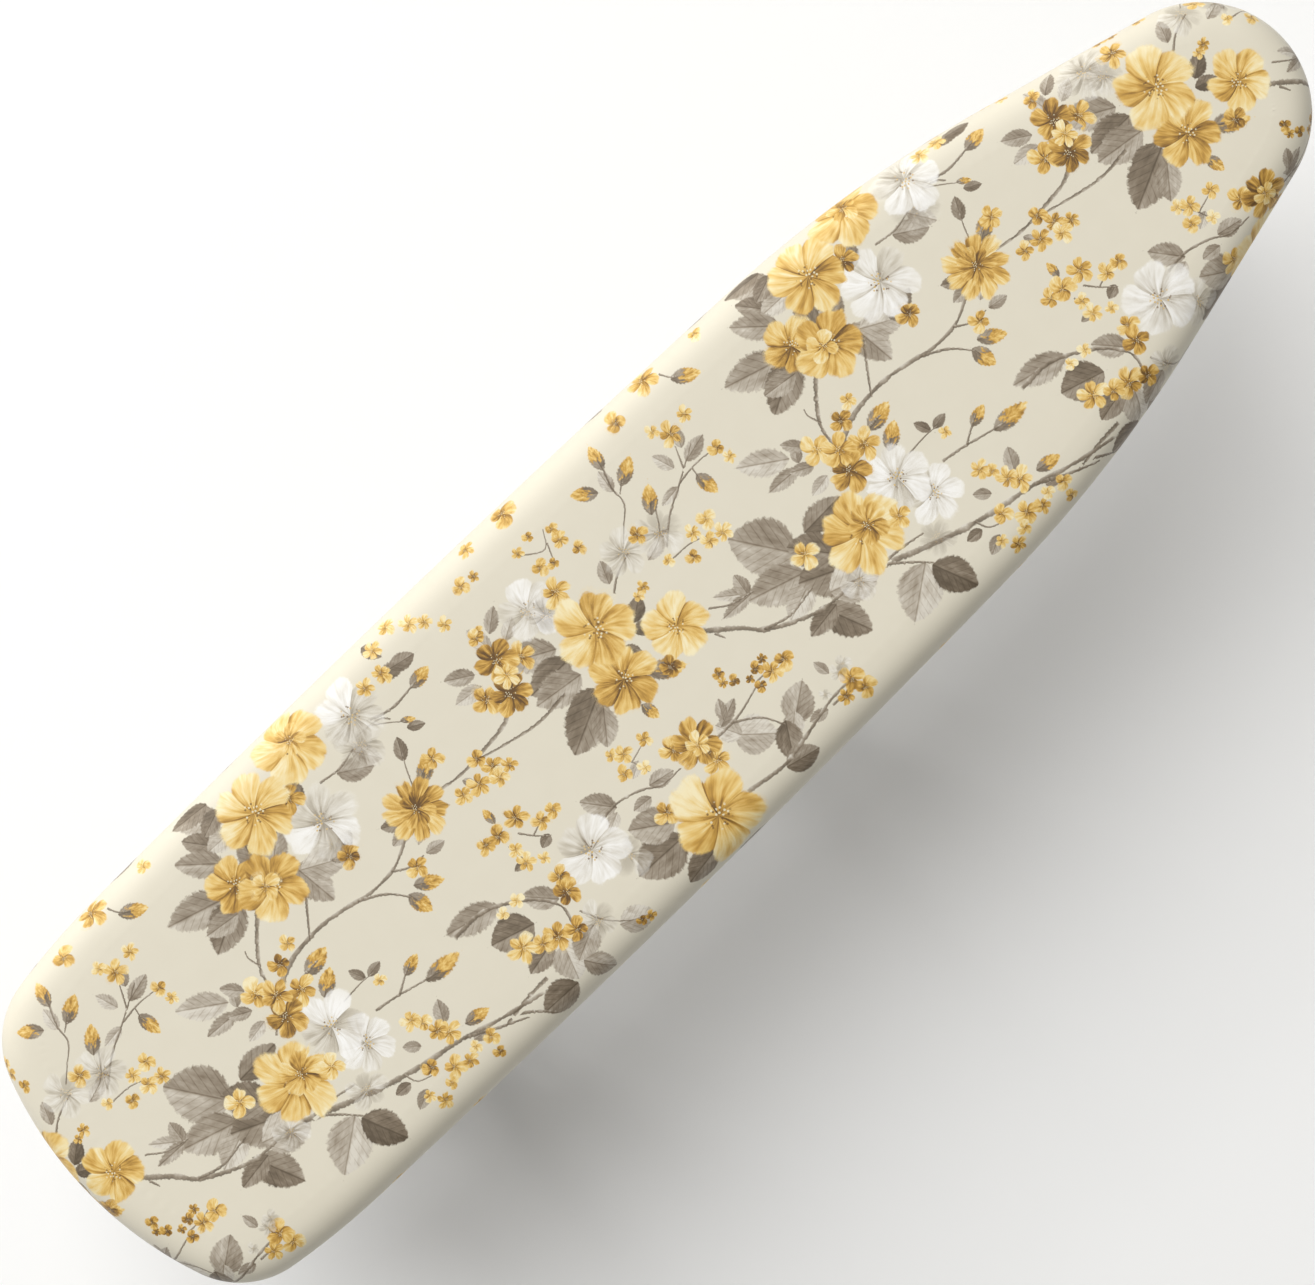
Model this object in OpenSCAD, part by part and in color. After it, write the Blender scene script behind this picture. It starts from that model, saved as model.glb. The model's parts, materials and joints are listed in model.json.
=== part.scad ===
// Sleeve ironing board: a padded, cloth-covered steel board carried over a wire
// base by two swinging arms that keep it level, so that it folds down flat.
// Frame: +X towards the nose, +Z up, origin on the table under the board's centre.

/* [Board outline] */
// Radius of the nose
nose_r = 35; // [32:0.5:40]
// Angle of each tapering side to the board's length
taper_deg = 14.5; // [12:0.5:16]
// Length of the straight taper behind the nose
taper_len = 60.7; // [50:0.1:70]
// Radius of the shoulder that joins the taper to the long side
shoulder_r = 432; // [300:1:600]
// Radius of the long side's slight bulge
side_r = 5600; // [4000:100:8000]
// Radius of the soft turn before each tail corner
quarter_r = 250; // [200:10:300]
// Radius of the tail corners
corner_r = 28.5; // [26:0.5:34]
// Half the angle that the curved tail edge spans
tail_deg = 20; // [16:1:22]

/* [Board layers] */
// Height from the hem to the cover's top
board_h = 22; // [20:0.5:24]
// Steel sheet thickness of the mesh top and the rim
sheet_t = 1; // [0.8:0.1:1.2]
// Distance from the cover's edge in to the steel rim
rim_inset = 5; // [5:0.1:6]
// Width of the rim's turned-in lip
lip_w = 5; // [3:0.5:8]
// Radius of the steam holes
vent_r = 2.4; // [1.5:0.1:3]
// Distance between neighbouring steam holes
vent_pitch = 12; // [11:0.5:16]
// Distance from the cover's edge in to the end of its hem
hem_inset = 24; // [20:0.5:25]

/* [Stand] */
// Diameter of the steel rod of the base and the arms
rod_d = 8; // [7:0.5:8]
// Pivot to pivot length of an arm
arm_len = 115; // [105:1:125]
// Distance between the centres of an arm's side bars
arm_w = 60; // [56:1:60]
// Backward lean of the arms when the board is up
lean_deg = 8; // [6:0.5:10]
// Distance from the rear arm to the front arm
arm_gap = 150; // [145:1:160]
// Place of the rear arm's upper pivot along the board
rear_top_x = -170; // [-175:1:-165]
// Centre radius of the rod's bends in the arms
arm_bend_r = 9; // [8:0.5:10]
// Half the base loop's width at its rear end, between rod centres
base_rear_y = 44; // [42:1:46]
// Half the base loop's width at its front end, between rod centres
base_front_y = 24; // [22:1:26]
// Place of the base loop's rear end
base_rear_x = -200; // [-210:1:-195]
// Place of the base loop's front end
base_front_x = 222; // [200:1:224]
// Centre radius of the rod's bends in the base
base_bend_r = 18; // [14:1:20]

/* [Fittings] */
// Thickness of the rubber under the base rod
sole_t = 4; // [3:0.5:6]
// Thickness of the base's cross plates
plate_t = 2; // [1.5:0.5:2.5]
// Thickness of the plates and clips under the board
clip_t = 1.5; // [1:0.25:1.5]
// Outer diameter of the nylon bushes
bush_d = 11; // [10:0.5:11]
// Gap between the rod and a bush all round
run_gap = 0.05; // [0.02:0.01:0.1]
// Width of a saddle clip along the rod
clip_w = 9; // [8:0.5:10]
// Distance of each saddle clip from the middle
clip_y = 15.5; // [14:0.5:16]

/* [Hidden] */
$fn = 48;

steel_grey = [0.72, 0.73, 0.74];
zinc = [0.80, 0.81, 0.80];
mesh_grey = [0.62, 0.64, 0.66];
cream = [0.93, 0.88, 0.76];
tape_cream = [0.90, 0.85, 0.72];
felt_grey = [0.72, 0.70, 0.66];
foam_white = [0.93, 0.92, 0.88];
nylon_white = [0.90, 0.90, 0.87];
rubber_grey = [0.25, 0.25, 0.26];
knob_grey = [0.30, 0.30, 0.32];

rod_r = rod_d / 2;
bush_r = bush_d / 2;
base_rod_z = sole_t + rod_r;
plate_z = sole_t + rod_d;
base_pivot_z = plate_z + plate_t + bush_r;
top_pivot_z = base_pivot_z + arm_len * cos(lean_deg);
front_top_x = rear_top_x + arm_gap;
rear_base_x = rear_top_x + arm_len * sin(lean_deg);
front_base_x = front_top_x + arm_len * sin(lean_deg);

// Heights inside the board, from the hem's underside up, and depths below its top.
cloth_t = 0.9;
felt_depth = 4;
sheet_depth = 7.8;
rim_bottom = 1.5;
sheet_top = board_h - sheet_depth;
sheet_bottom = sheet_top - sheet_t;
top_pivot_h = sheet_bottom - clip_t - bush_r;
hem_z = top_pivot_z - top_pivot_h;

// Outline of the board: a chain of arcs from the nose tip to the tail, each one
// tangent to the last, so that an inset only takes its distance off every radius.
side_deg = 1.74;
rear_side_deg = 1.07;
quarter_deg = 9;
heads = [
    90, 180 - taper_deg, 180 - side_deg, 180 + rear_side_deg, 180 + quarter_deg, 270 - tail_deg, 270
];
function turn(r, a, b) = r * [sin(b) - sin(a), cos(a) - cos(b)];
function arc(p, r, a, b, n) = [for (i = [1:n]) p + turn(r, a, a + (b - a) * i / n)];
function last(v) = v[len(v) - 1];
function unit(v) = v / norm(v);
function angle_of(v) = atan2(v[1], v[0]);
function half_from(p, d, n) =
    let (nose = arc(p, nose_r - d, heads[0], heads[1], 5 * n))
    let (taper = last(nose) + taper_len * [cos(heads[1]), sin(heads[1])])
    let (shoulder = arc(taper, shoulder_r - d, heads[1], heads[2], 2 * n))
    let (side = arc(last(shoulder), side_r - d, heads[2], heads[3], 2 * n))
    let (quarter = arc(last(side), quarter_r - d, heads[3], heads[4], n))
    let (corner = arc(last(quarter), corner_r - d, heads[4], heads[5], 4 * n))
    let (tail_r = -last(corner)[1] / cos(heads[5]))
    let (tail = arc(last(corner), tail_r, heads[5], heads[6], 2 * n))
    concat([p], nose, [taper], shoulder, side, quarter, corner, tail);
board_len = -last(half_from([0, 0], 0, 2))[0];
function outline(d, n = 2) =
    let (half = half_from([board_len / 2 - d, 0], d, n))
    concat(half, [for (i = [len(half) - 2:-1:1]) [half[i][0], -half[i][1]]]);

// A solid skinned through rings of the outline. Each ring is [inset, height], listed
// from the top's edge down the outside, under, and back up the inside.
function ring_points(rings, n) = [for (r = rings) for (p = outline(r[0], n)) [p[0], p[1], r[1]]];
function band_faces(m, i0, i1) = [
    for (j = [0:m - 1]) let (a = i0 * m + j, b = i0 * m + (j + 1) % m, c = i1 * m + (j + 1) % m, e = i1 * m + j)
        each [[a, b, c], [a, c, e]]
];
module skin(rings, n = 2) {
    k = len(rings);
    m = len(outline(0, n));
    bands = [for (i = [0:k - 2]) each band_faces(m, i, i + 1)];
    caps = [[for (j = [m - 1:-1:0]) j], [for (j = [0:m - 1]) (k - 1) * m + j]];
    translate([0, 0, hem_z]) polyhedron(ring_points(rings, n), concat(bands, caps), convexity = 6);
}
// A closed section, listed as [inset, height] clockwise, swept right round the outline.
module outline_sweep(section, n = 2) {
    k = len(section);
    m = len(outline(0, n));
    faces = [for (i = [0:k - 1]) each band_faces(m, i, (i + 1) % k)];
    translate([0, 0, hem_z]) polyhedron(ring_points(section, n), faces, convexity = 6);
}
// Points on a round about [inset, height], from angle a to b.
function round_section(centre, r, a, b, n) =
    [for (i = [0:n]) let (t = a + (b - a) * i / n) centre + r * [cos(t), -sin(t)]];
module outline_plate(inset, z0, z1) {
    translate([0, 0, hem_z + z0]) linear_extrude(z1 - z0) polygon(outline(inset, 3));
}

// The corners of a convex outline, listed anticlockwise, each rounded to the radius r
// that is its third number.
corner_steps = 5;
function round_corners(pts) = [
    for (i = [0:len(pts) - 1])
        let (b = pts[i], a = pts[(i + len(pts) - 1) % len(pts)], c = pts[(i + 1) % len(pts)])
        let (u = unit([b[0] - a[0], b[1] - a[1]]), v = unit([c[0] - b[0], c[1] - b[1]]), bend = acos(u * v))
        let (start = [b[0], b[1]] - b[2] * tan(bend / 2) * u, centre = start + b[2] * [-u[1], u[0]])
        each b[2] == 0 ? [[b[0], b[1]]]
            : [for (k = [0:corner_steps]) let (t = angle_of(u) - 90 + bend * k / corner_steps)
                centre + b[2] * [cos(t), sin(t)]]
];

// ---- soft layers ----
crown = 14; // inset at which the padding's rounded shoulder meets its flat top
module cover() {
    top = board_h;
    t = cloth_t;
    color(cream) skin([
        [crown, top], [9, top - 0.5], [5, top - 2], [2, top - 4.7], [0.5, top - 8], [0, 10.5], [0, 6],
        [0.8, 3], [2.8, 0.8], [6, 0], [hem_inset, 0], [hem_inset, t], [6.4, t], [3.5, 1.6], [1.7, 3.5],
        [t, 6.2], [t, 10.5], [1.4, top - 8.3], [2.8, top - 5.3], [5.6, top - 2.8], [9.3, top - 1.4],
        [crown, top - t]
    ]);
}
// Tape folded over the hem's raw edge, with a channel beyond it for the elastic.
elastic_r = 1.2;
channel_r = 1.4;
tape_t = 0.5;
tape_lap = 2.4;
channel = [hem_inset + 2.2, cloth_t / 2];
module hem_binding() {
    r = channel_r + tape_t;
    gap = 0.02;
    y = cloth_t / 2 + gap;
    lap = hem_inset - tape_lap;
    flat = asin((y + tape_t) / r);
    mouth = asin(y / channel_r);
    color(tape_cream) outline_sweep(concat(
        [[lap, channel[1] + y + tape_t]],
        round_section(channel, r, 180 + flat, 540 - flat, 8),
        [[lap, channel[1] - y - tape_t], [lap, channel[1] - y]],
        round_section(channel, channel_r, 540 - mouth, 180 + mouth, 8),
        [[lap, channel[1] + y]]
    ));
}
module hem_elastic() {
    color(foam_white) outline_sweep(round_section(channel, elastic_r, 0, 300, 5));
}
module foam_layer() {
    top = board_h;
    color(foam_white) skin([
        [crown, top - 1], [9.4, top - 1.5], [5.7, top - 2.9], [2.9, top - 5.5], [1.5, top - 8.3], [1, 10.5],
        [1, 6.3], [1.9, 3.6], [3.7, 1.75], [4.6, 1.75], [4.6, top - 9], [4.9, top - 7.2], [7.2, top - 5.1],
        [10.2, top - 4.1], [crown, top - felt_depth + 0.1]
    ]);
}
module felt_pad() {
    top = board_h;
    color(felt_grey) skin([
        [crown, top - felt_depth], [10.3, top - 4.2], [7.4, top - 5.2], [5.5, top - 7.1], [5.5, sheet_top + 0.1]
    ]);
}

// ---- steel top ----
// Steam holes: staggered rows, kept inside the rim and off the plates' rivets.
vent_margin = rim_inset + 9;
vent_row = vent_pitch * sin(60);
function half_width(x) =
    let (edge = half_from([board_len / 2 - vent_margin, 0], vent_margin, 2))
    lookup(x, [for (i = [len(edge) - 1:-1:0]) [edge[i][0], edge[i][1]]]);
module vents() {
    rows = floor(65 / vent_row);
    for (j = [-rows:rows], i = [-22:22]) {
        x = (i + (j % 2 == 0 ? 0 : 0.5)) * vent_pitch;
        y = j * vent_row;
        if (abs(x) < board_len / 2 - vent_margin && abs(y) < half_width(x))
            translate([x, y, hem_z + sheet_bottom - 1]) cylinder(h = sheet_t + 2, r = vent_r, $fn = 24);
    }
}
module mesh_top() {
    color(mesh_grey) difference() {
        outline_plate(rim_inset, sheet_bottom, sheet_top);
        vents();
    }
}
module rim_frame() {
    color(steel_grey) difference() {
        outline_plate(rim_inset, rim_bottom, sheet_bottom);
        outline_plate(rim_inset + sheet_t, rim_bottom + sheet_t, sheet_bottom + 1);
        outline_plate(rim_inset + lip_w, rim_bottom - 1, rim_bottom + sheet_t + 1);
    }
}
// Hat channel that stiffens the nose, open towards the mesh.
rail_x0 = 8;
rail_x1 = 196;
rail_w = 22;
rail_h = 6;
rail_flange = 7;
module nose_rail() {
    top = sheet_bottom;
    color(steel_grey) translate([rail_x0, 0, hem_z]) difference() {
        union() {
            translate([0, -rail_w / 2 - rail_flange, top - clip_t])
                cube([rail_x1 - rail_x0, rail_w + 2 * rail_flange, clip_t]);
            translate([0, -rail_w / 2, top - rail_h]) cube([rail_x1 - rail_x0, rail_w, rail_h]);
        }
        translate([-1, -rail_w / 2 + clip_t, top - rail_h + clip_t])
            cube([rail_x1 - rail_x0 + 2, rail_w - 2 * clip_t, rail_h]);
    }
}

// ---- pivots: plates, saddle clips, bushes and rivets ----
foot_l = 9;
rivet_r = 1.6;
rivet_head_r = 3;
rivet_x = bush_r + clip_t + foot_l / 2;
top_plate_l = 44;
top_plate_w = 62;
plate_corner = 4;
// Two saddle clips over a rod along Y, feet down on z = -bush_r.
module saddle_clips() {
    for (s = [-1, 1]) translate([0, s * clip_y - clip_w / 2, 0]) difference() {
        union() {
            rotate([-90, 0, 0]) cylinder(h = clip_w, r = bush_r + clip_t);
            translate([-bush_r - clip_t - foot_l, 0, -bush_r])
                cube([2 * (bush_r + clip_t + foot_l), clip_w, clip_t]);
            translate([-bush_r - clip_t, 0, -bush_r]) cube([2 * (bush_r + clip_t), clip_w, bush_r]);
        }
        translate([0, -1, 0]) rotate([-90, 0, 0]) cylinder(h = clip_w + 2, r = bush_r);
        translate([-bush_r, -1, -bush_r - 1]) cube([bush_d, clip_w + 2, bush_r + 1]);
        translate([-30, -1, -bush_r - 10]) cube([60, clip_w + 2, 10]);
        for (e = [-1, 1]) translate([e * rivet_x, clip_w / 2, -bush_r - 1]) cylinder(h = clip_t + 2, r = rivet_r);
    }
}
module bushes() {
    for (s = [-1, 1]) translate([0, s * clip_y, 0]) rotate([-90, 0, 0]) difference() {
        translate([0, 0, -clip_w / 2 - 0.5]) cylinder(h = clip_w + 1, r = bush_r - 0.02);
        translate([0, 0, -clip_w]) cylinder(h = 2 * clip_w, r = rod_r + run_gap);
    }
}
// Rivets of one pair of clips, from the plate's far face to a domed head.
module clip_rivets(plate) {
    for (s = [-1, 1], e = [-1, 1]) translate([e * rivet_x, s * clip_y, -bush_r - plate]) {
        cylinder(h = plate + clip_t, r = rivet_r - 0.05, $fn = 24);
        translate([0, 0, plate + clip_t]) intersection() {
            translate([0, 0, -rivet_head_r * 0.75]) sphere(r = rivet_head_r * 1.25, $fn = 32);
            cylinder(h = 4, r = rivet_head_r, $fn = 32);
        }
    }
}
module rivet_holes(h) {
    for (s = [-1, 1], e = [-1, 1]) translate([e * rivet_x, s * clip_y, -1]) cylinder(h = h + 2, r = rivet_r, $fn = 24);
}
module at_top_pivot(x) {
    translate([x, 0, top_pivot_z]) mirror([0, 0, 1]) children();
}
module at_base_pivot(x) {
    translate([x, 0, base_pivot_z]) children();
}
module top_plate(x) {
    translate([x, 0, hem_z + sheet_bottom - clip_t]) difference() {
        linear_extrude(clip_t) polygon(round_corners([
            [-top_plate_l / 2, -top_plate_w / 2, plate_corner], [top_plate_l / 2, -top_plate_w / 2, plate_corner],
            [top_plate_l / 2, top_plate_w / 2, plate_corner], [-top_plate_l / 2, top_plate_w / 2, plate_corner]
        ]));
        rivet_holes(clip_t);
    }
}
module rear_top_plate() { color(zinc) top_plate(rear_top_x); }
module front_top_plate() { color(zinc) top_plate(front_top_x); }
module rear_top_clips() { color(zinc) at_top_pivot(rear_top_x) saddle_clips(); }
module front_top_clips() { color(zinc) at_top_pivot(front_top_x) saddle_clips(); }
module rear_top_bushes() { color(nylon_white) at_top_pivot(rear_top_x) bushes(); }
module front_top_bushes() { color(nylon_white) at_top_pivot(front_top_x) bushes(); }
module board_rivets() {
    color(zinc) for (x = [rear_top_x, front_top_x]) at_top_pivot(x) clip_rivets(clip_t);
}

// ---- bent rod ----
// A closed loop of rod through corner points in the XY plane, each corner bent to bend_r.
module rod_loop(points, bend_r) {
    n = len(points);
    for (i = [0:n - 1]) {
        a = points[i];
        b = points[(i + 1) % n];
        c = points[(i + 2) % n];
        u = unit(b - a);
        v = unit(c - b);
        bend = acos(u * v);
        cut_b = bend_r * tan(bend / 2);
        w = unit(a - points[(i + n - 1) % n]);
        cut_a = bend_r * tan(acos(w * u) / 2);
        start = a + cut_a * u;
        finish = b - cut_b * u;
        translate([start[0], start[1], 0]) rotate([0, 90, angle_of(u)])
            cylinder(h = norm(finish - start), r = rod_r);
        centre = finish + bend_r * [-u[1], u[0]];
        translate([centre[0], centre[1], 0]) rotate([0, 0, angle_of(u) - 90])
            rotate_extrude(angle = bend) translate([bend_r, 0]) circle(r = rod_r);
    }
}
// An arm: a rectangular loop from its lower bar, on the origin, to its upper bar.
module arm(x) {
    at_base_pivot(x) rotate([0, -lean_deg, 0]) rotate([0, -90, 0])
        rod_loop([[0, -arm_w / 2], [arm_len, -arm_w / 2], [arm_len, arm_w / 2], [0, arm_w / 2]], arm_bend_r);
}
module rear_arm() { color(steel_grey) arm(rear_base_x); }
module front_arm() { color(steel_grey) arm(front_base_x); }
// The base loop's line: straight runs and four bends, as the centres of its rings.
base_corners = [
    [base_rear_x, -base_rear_y], [base_front_x, -base_front_y], [base_front_x, base_front_y], [base_rear_x, base_rear_y]
];
bend_steps = 7;
function bend_points(a, b, c) =
    let (u = unit(b - a), v = unit(c - b), bend = acos(u * v))
    let (start = b - base_bend_r * tan(bend / 2) * u, centre = start + base_bend_r * [-u[1], u[0]])
    [for (i = [0:bend_steps]) let (t = angle_of(u) - 90 + bend * i / bend_steps) concat(
        centre + base_bend_r * [cos(t), sin(t)], t + 90)];
base_line = [for (i = [0:3]) each bend_points(base_corners[i], base_corners[(i + 1) % 4], base_corners[(i + 2) % 4])];
base_sides = 20;
module base_loop() {
    n = len(base_line);
    points = [for (p = base_line) for (k = [0:base_sides - 1])
        let (s = 360 * k / base_sides)
        [p[0] + rod_r * cos(s) * sin(p[2]), p[1] - rod_r * cos(s) * cos(p[2]), base_rod_z + rod_r * sin(s)]];
    color(steel_grey) polyhedron(points, [for (i = [0:n - 1]) each band_faces(base_sides, i, (i + 1) % n)]);
}
function run_y(x) = base_rear_y + (base_front_y - base_rear_y) * (x - base_rear_x) / (base_front_x - base_rear_x);

// ---- base plates and their fittings ----
front_plate_x = [front_base_x - 22, front_base_x + 22];
rear_plate_x = [rear_base_x - 32, rear_base_x + 22];
stud_r = 2.5;
stud_x = rear_base_x - 12;
module base_plate(x0, x1) {
    over = rod_r;
    translate([0, 0, plate_z]) linear_extrude(plate_t) polygon(round_corners([
        [x0, -run_y(x0) - over, plate_corner], [x1, -run_y(x1) - over, plate_corner],
        [x1, run_y(x1) + over, plate_corner], [x0, run_y(x0) + over, plate_corner]
    ]));
}
module rear_base_plate() {
    color(zinc) difference() {
        base_plate(rear_plate_x[0], rear_plate_x[1]);
        translate([rear_base_x, 0, plate_z]) rivet_holes(plate_t);
        translate([stud_x, 0, plate_z - 1]) cylinder(h = plate_t + 2, r = stud_r + 0.3);
    }
}
module front_base_plate() {
    color(zinc) difference() {
        base_plate(front_plate_x[0], front_plate_x[1]);
        translate([front_base_x, 0, plate_z]) rivet_holes(plate_t);
    }
}
module rear_base_clips() { color(zinc) at_base_pivot(rear_base_x) saddle_clips(); }
module front_base_clips() { color(zinc) at_base_pivot(front_base_x) saddle_clips(); }
module rear_base_bushes() { color(nylon_white) at_base_pivot(rear_base_x) bushes(); }
module front_base_bushes() { color(nylon_white) at_base_pivot(front_base_x) bushes(); }
module base_rivets() {
    color(zinc) for (x = [rear_base_x, front_base_x]) at_base_pivot(x) clip_rivets(plate_t);
}

// Stop: two upright brackets behind the rear arm, each with a rubber buffer.
tab_w = 9;
tab_t = 2;
tab_top = 34;
tab_x = rear_base_x - 14;
stop_gap = 0.3;
tab_foot = 16;
module stop_brackets() {
    top_corner = tab_w / 2 - 0.5;
    color(zinc) for (s = [-1, 1]) translate([tab_x, s * arm_w / 2, plate_z + plate_t]) {
        rotate([0, -90, 0]) linear_extrude(tab_t) polygon(round_corners([
            [0, -tab_w / 2, 0], [tab_top, -tab_w / 2, top_corner], [tab_top, tab_w / 2, top_corner], [0, tab_w / 2, 0]
        ]));
        linear_extrude(tab_t) polygon(round_corners([
            [-tab_foot, -tab_w / 2, 2], [0, -tab_w / 2, 0], [0, tab_w / 2, 0], [-tab_foot, tab_w / 2, 2]
        ]));
    }
}
buffer_r = 4;
buffer_h = 26;
module stop_buffers() {
    color(rubber_grey) for (s = [-1, 1]) intersection() {
        translate([tab_x, s * arm_w / 2, plate_z + plate_t + buffer_h]) rotate([0, 90, 0])
            cylinder(h = 20, r = buffer_r);
        translate([rear_base_x, 0, base_pivot_z]) rotate([0, -lean_deg, 0])
            translate([-rod_r - stop_gap - 30, -50, -20]) cube([30, 100, 80]);
    }
}

// Split block that grips the rear arm's lower bar when the knob is turned down.
block_w = 18;
block_x0 = -20;
block_x1 = 8;
block_h = 14;
slit = 1.4;
knob_r = 10;
knob_h = 12;
nut_af = 8;
module clamp_block() {
    color(knob_grey) translate([rear_base_x, 0, 0]) difference() {
        translate([0, 0, plate_z + plate_t]) linear_extrude(block_h) polygon(round_corners([
            [block_x0, -block_w / 2, 3], [block_x1, -block_w / 2, 2], [block_x1, block_w / 2, 2],
            [block_x0, block_w / 2, 3]
        ]));
        translate([0, -block_w, base_pivot_z]) rotate([-90, 0, 0]) cylinder(h = 2 * block_w, r = rod_r + run_gap);
        translate([block_x0 - 1, -block_w, base_pivot_z - slit / 2]) cube([-block_x0 + 1, 2 * block_w, slit]);
        translate([stud_x - rear_base_x, 0, plate_z]) cylinder(h = 40, r = stud_r + 0.3);
    }
}
knob_z = plate_z + plate_t + block_h + 0.3;
stud_in_knob = 7;
module lock_stud() {
    color(zinc) translate([stud_x, 0, plate_z - 6]) cylinder(h = knob_z + stud_in_knob - plate_z + 6, r = stud_r);
}
module lock_nut() {
    color(zinc) translate([stud_x, 0, plate_z - 4]) difference() {
        cylinder(h = 4, r = nut_af / 2 / cos(30), $fn = 6);
        translate([0, 0, -1]) cylinder(h = 6, r = stud_r + 0.05);
    }
}
module lock_knob() {
    lobes = 5;
    lobe_depth = 1.2;
    recess_r = 4.5;
    rim = [for (a = [0:6:354]) (knob_r - 0.7 + lobe_depth * cos(lobes * a)) * [cos(a), sin(a)]];
    color(knob_grey) translate([stud_x, 0, knob_z]) difference() {
        linear_extrude(knob_h) polygon(rim);
        translate([0, 0, knob_h - 1.5]) cylinder(h = 3, r = recess_r);
        translate([0, 0, -1]) cylinder(h = stud_in_knob + 1, r = stud_r + 0.02);
    }
}

// Rubber feet snapped on to the base rod from below, clear of the plates; left is +Y.
foot_len = 26;
foot_w = 15;
foot_grip = 2.4;
rear_foot_x = base_rear_x + 30;
front_foot_x = base_front_x - 34;
module foot(x, side) {
    turn_deg = side * atan((base_front_y - base_rear_y) / (base_front_x - base_rear_x));
    color(rubber_grey) translate([x, side * run_y(x), 0]) rotate(turn_deg) difference() {
        translate([-foot_len / 2, -foot_w / 2, 0]) cube([foot_len, foot_w, base_rod_z + foot_grip]);
        translate([-foot_len, 0, base_rod_z]) rotate([0, 90, 0]) cylinder(h = 2 * foot_len, r = rod_r);
    }
}
module foot_rear_left() { foot(rear_foot_x, 1); }
module foot_rear_right() { foot(rear_foot_x, -1); }
module foot_front_left() { foot(front_foot_x, 1); }
module foot_front_right() { foot(front_foot_x, -1); }

cover();
hem_binding();
hem_elastic();
foam_layer();
felt_pad();
mesh_top();
rim_frame();
nose_rail();
rear_top_plate();
front_top_plate();
rear_top_clips();
front_top_clips();
rear_top_bushes();
front_top_bushes();
board_rivets();
rear_arm();
front_arm();
base_loop();
rear_base_plate();
front_base_plate();
rear_base_clips();
front_base_clips();
rear_base_bushes();
front_base_bushes();
base_rivets();
stop_brackets();
stop_buffers();
clamp_block();
lock_knob();
lock_stud();
lock_nut();
foot_rear_left();
foot_rear_right();
foot_front_left();
foot_front_right();
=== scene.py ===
"""Sleeve ironing board: the cloth, padding, rods and fittings that are seen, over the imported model."""

import json
import math

import bpy
import numpy as np
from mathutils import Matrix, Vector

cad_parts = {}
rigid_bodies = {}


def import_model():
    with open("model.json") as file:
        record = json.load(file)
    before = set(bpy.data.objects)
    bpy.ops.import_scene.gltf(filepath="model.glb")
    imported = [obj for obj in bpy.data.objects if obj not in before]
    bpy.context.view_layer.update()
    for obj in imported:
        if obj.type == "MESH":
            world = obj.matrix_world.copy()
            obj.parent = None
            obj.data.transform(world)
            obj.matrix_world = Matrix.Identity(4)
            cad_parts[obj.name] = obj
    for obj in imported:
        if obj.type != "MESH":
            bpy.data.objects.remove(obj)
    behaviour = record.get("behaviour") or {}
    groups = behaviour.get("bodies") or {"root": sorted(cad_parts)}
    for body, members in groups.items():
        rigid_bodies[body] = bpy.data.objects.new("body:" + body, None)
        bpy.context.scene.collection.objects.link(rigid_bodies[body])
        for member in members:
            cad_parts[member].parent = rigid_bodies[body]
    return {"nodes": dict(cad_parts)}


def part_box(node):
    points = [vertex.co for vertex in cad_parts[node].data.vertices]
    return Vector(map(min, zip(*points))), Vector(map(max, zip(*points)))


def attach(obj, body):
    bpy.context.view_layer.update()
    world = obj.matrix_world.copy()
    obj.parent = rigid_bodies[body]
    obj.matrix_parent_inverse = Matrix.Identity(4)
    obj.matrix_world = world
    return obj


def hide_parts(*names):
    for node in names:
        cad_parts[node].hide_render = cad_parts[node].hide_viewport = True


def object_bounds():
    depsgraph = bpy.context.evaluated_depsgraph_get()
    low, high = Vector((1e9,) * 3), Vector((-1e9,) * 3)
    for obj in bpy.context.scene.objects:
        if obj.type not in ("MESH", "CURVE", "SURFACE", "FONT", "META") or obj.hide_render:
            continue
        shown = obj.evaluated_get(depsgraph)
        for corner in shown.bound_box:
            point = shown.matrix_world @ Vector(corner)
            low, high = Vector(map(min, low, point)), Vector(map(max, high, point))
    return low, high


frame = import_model()
cad_box = [list(corner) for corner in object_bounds()]
MM = 0.001

# ---- camera, floor and light ---------------------------------------------------------------------------

CAMERA_TURN = math.radians(-44.11)
VIEW_CENTRE = (-12.2, -0.57)
VIEW_WIDTH = 411.5
LENS, SENSOR = 120.0, 36.0
WIDEST_BELOW_TOP = 14.0


def add_object(name, data):
    """An object of this data in the scene, at the origin, unturned."""
    made = bpy.data.objects.new(name, data)
    bpy.context.scene.collection.objects.link(made)
    return made


def make_camera():
    """A camera straight above the board, far enough off for the view's width to fill the sensor at the height
    where the cover is widest.
    """
    data = bpy.data.cameras.new("camera")
    data.lens, data.sensor_width = LENS, SENSOR
    data.clip_end = 20.0
    camera = add_object("camera", data)
    distance = VIEW_WIDTH * LENS / SENSOR
    height = cad_box[1][2] + (distance - WIDEST_BELOW_TOP) * MM
    camera.location = (VIEW_CENTRE[0] * MM, VIEW_CENTRE[1] * MM, height)
    camera.rotation_euler = (0.0, 0.0, CAMERA_TURN)
    bpy.context.scene.camera = camera


def make_light(name, kind, power, place, **size):
    """A light of a kind and size at a place in metres, facing the board."""
    data = bpy.data.lights.new(name, kind)
    data.energy = power
    for side, value in size.items():
        setattr(data, side, value)
    light = add_object(name, data)
    light.location = place
    away = np.subtract(place, (0.0, 0.0, 0.1))
    tilt = math.acos(away[2] / np.linalg.norm(away))
    light.rotation_euler = (tilt, 0.0, math.atan2(away[1], away[0]) + math.pi / 2)


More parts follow.
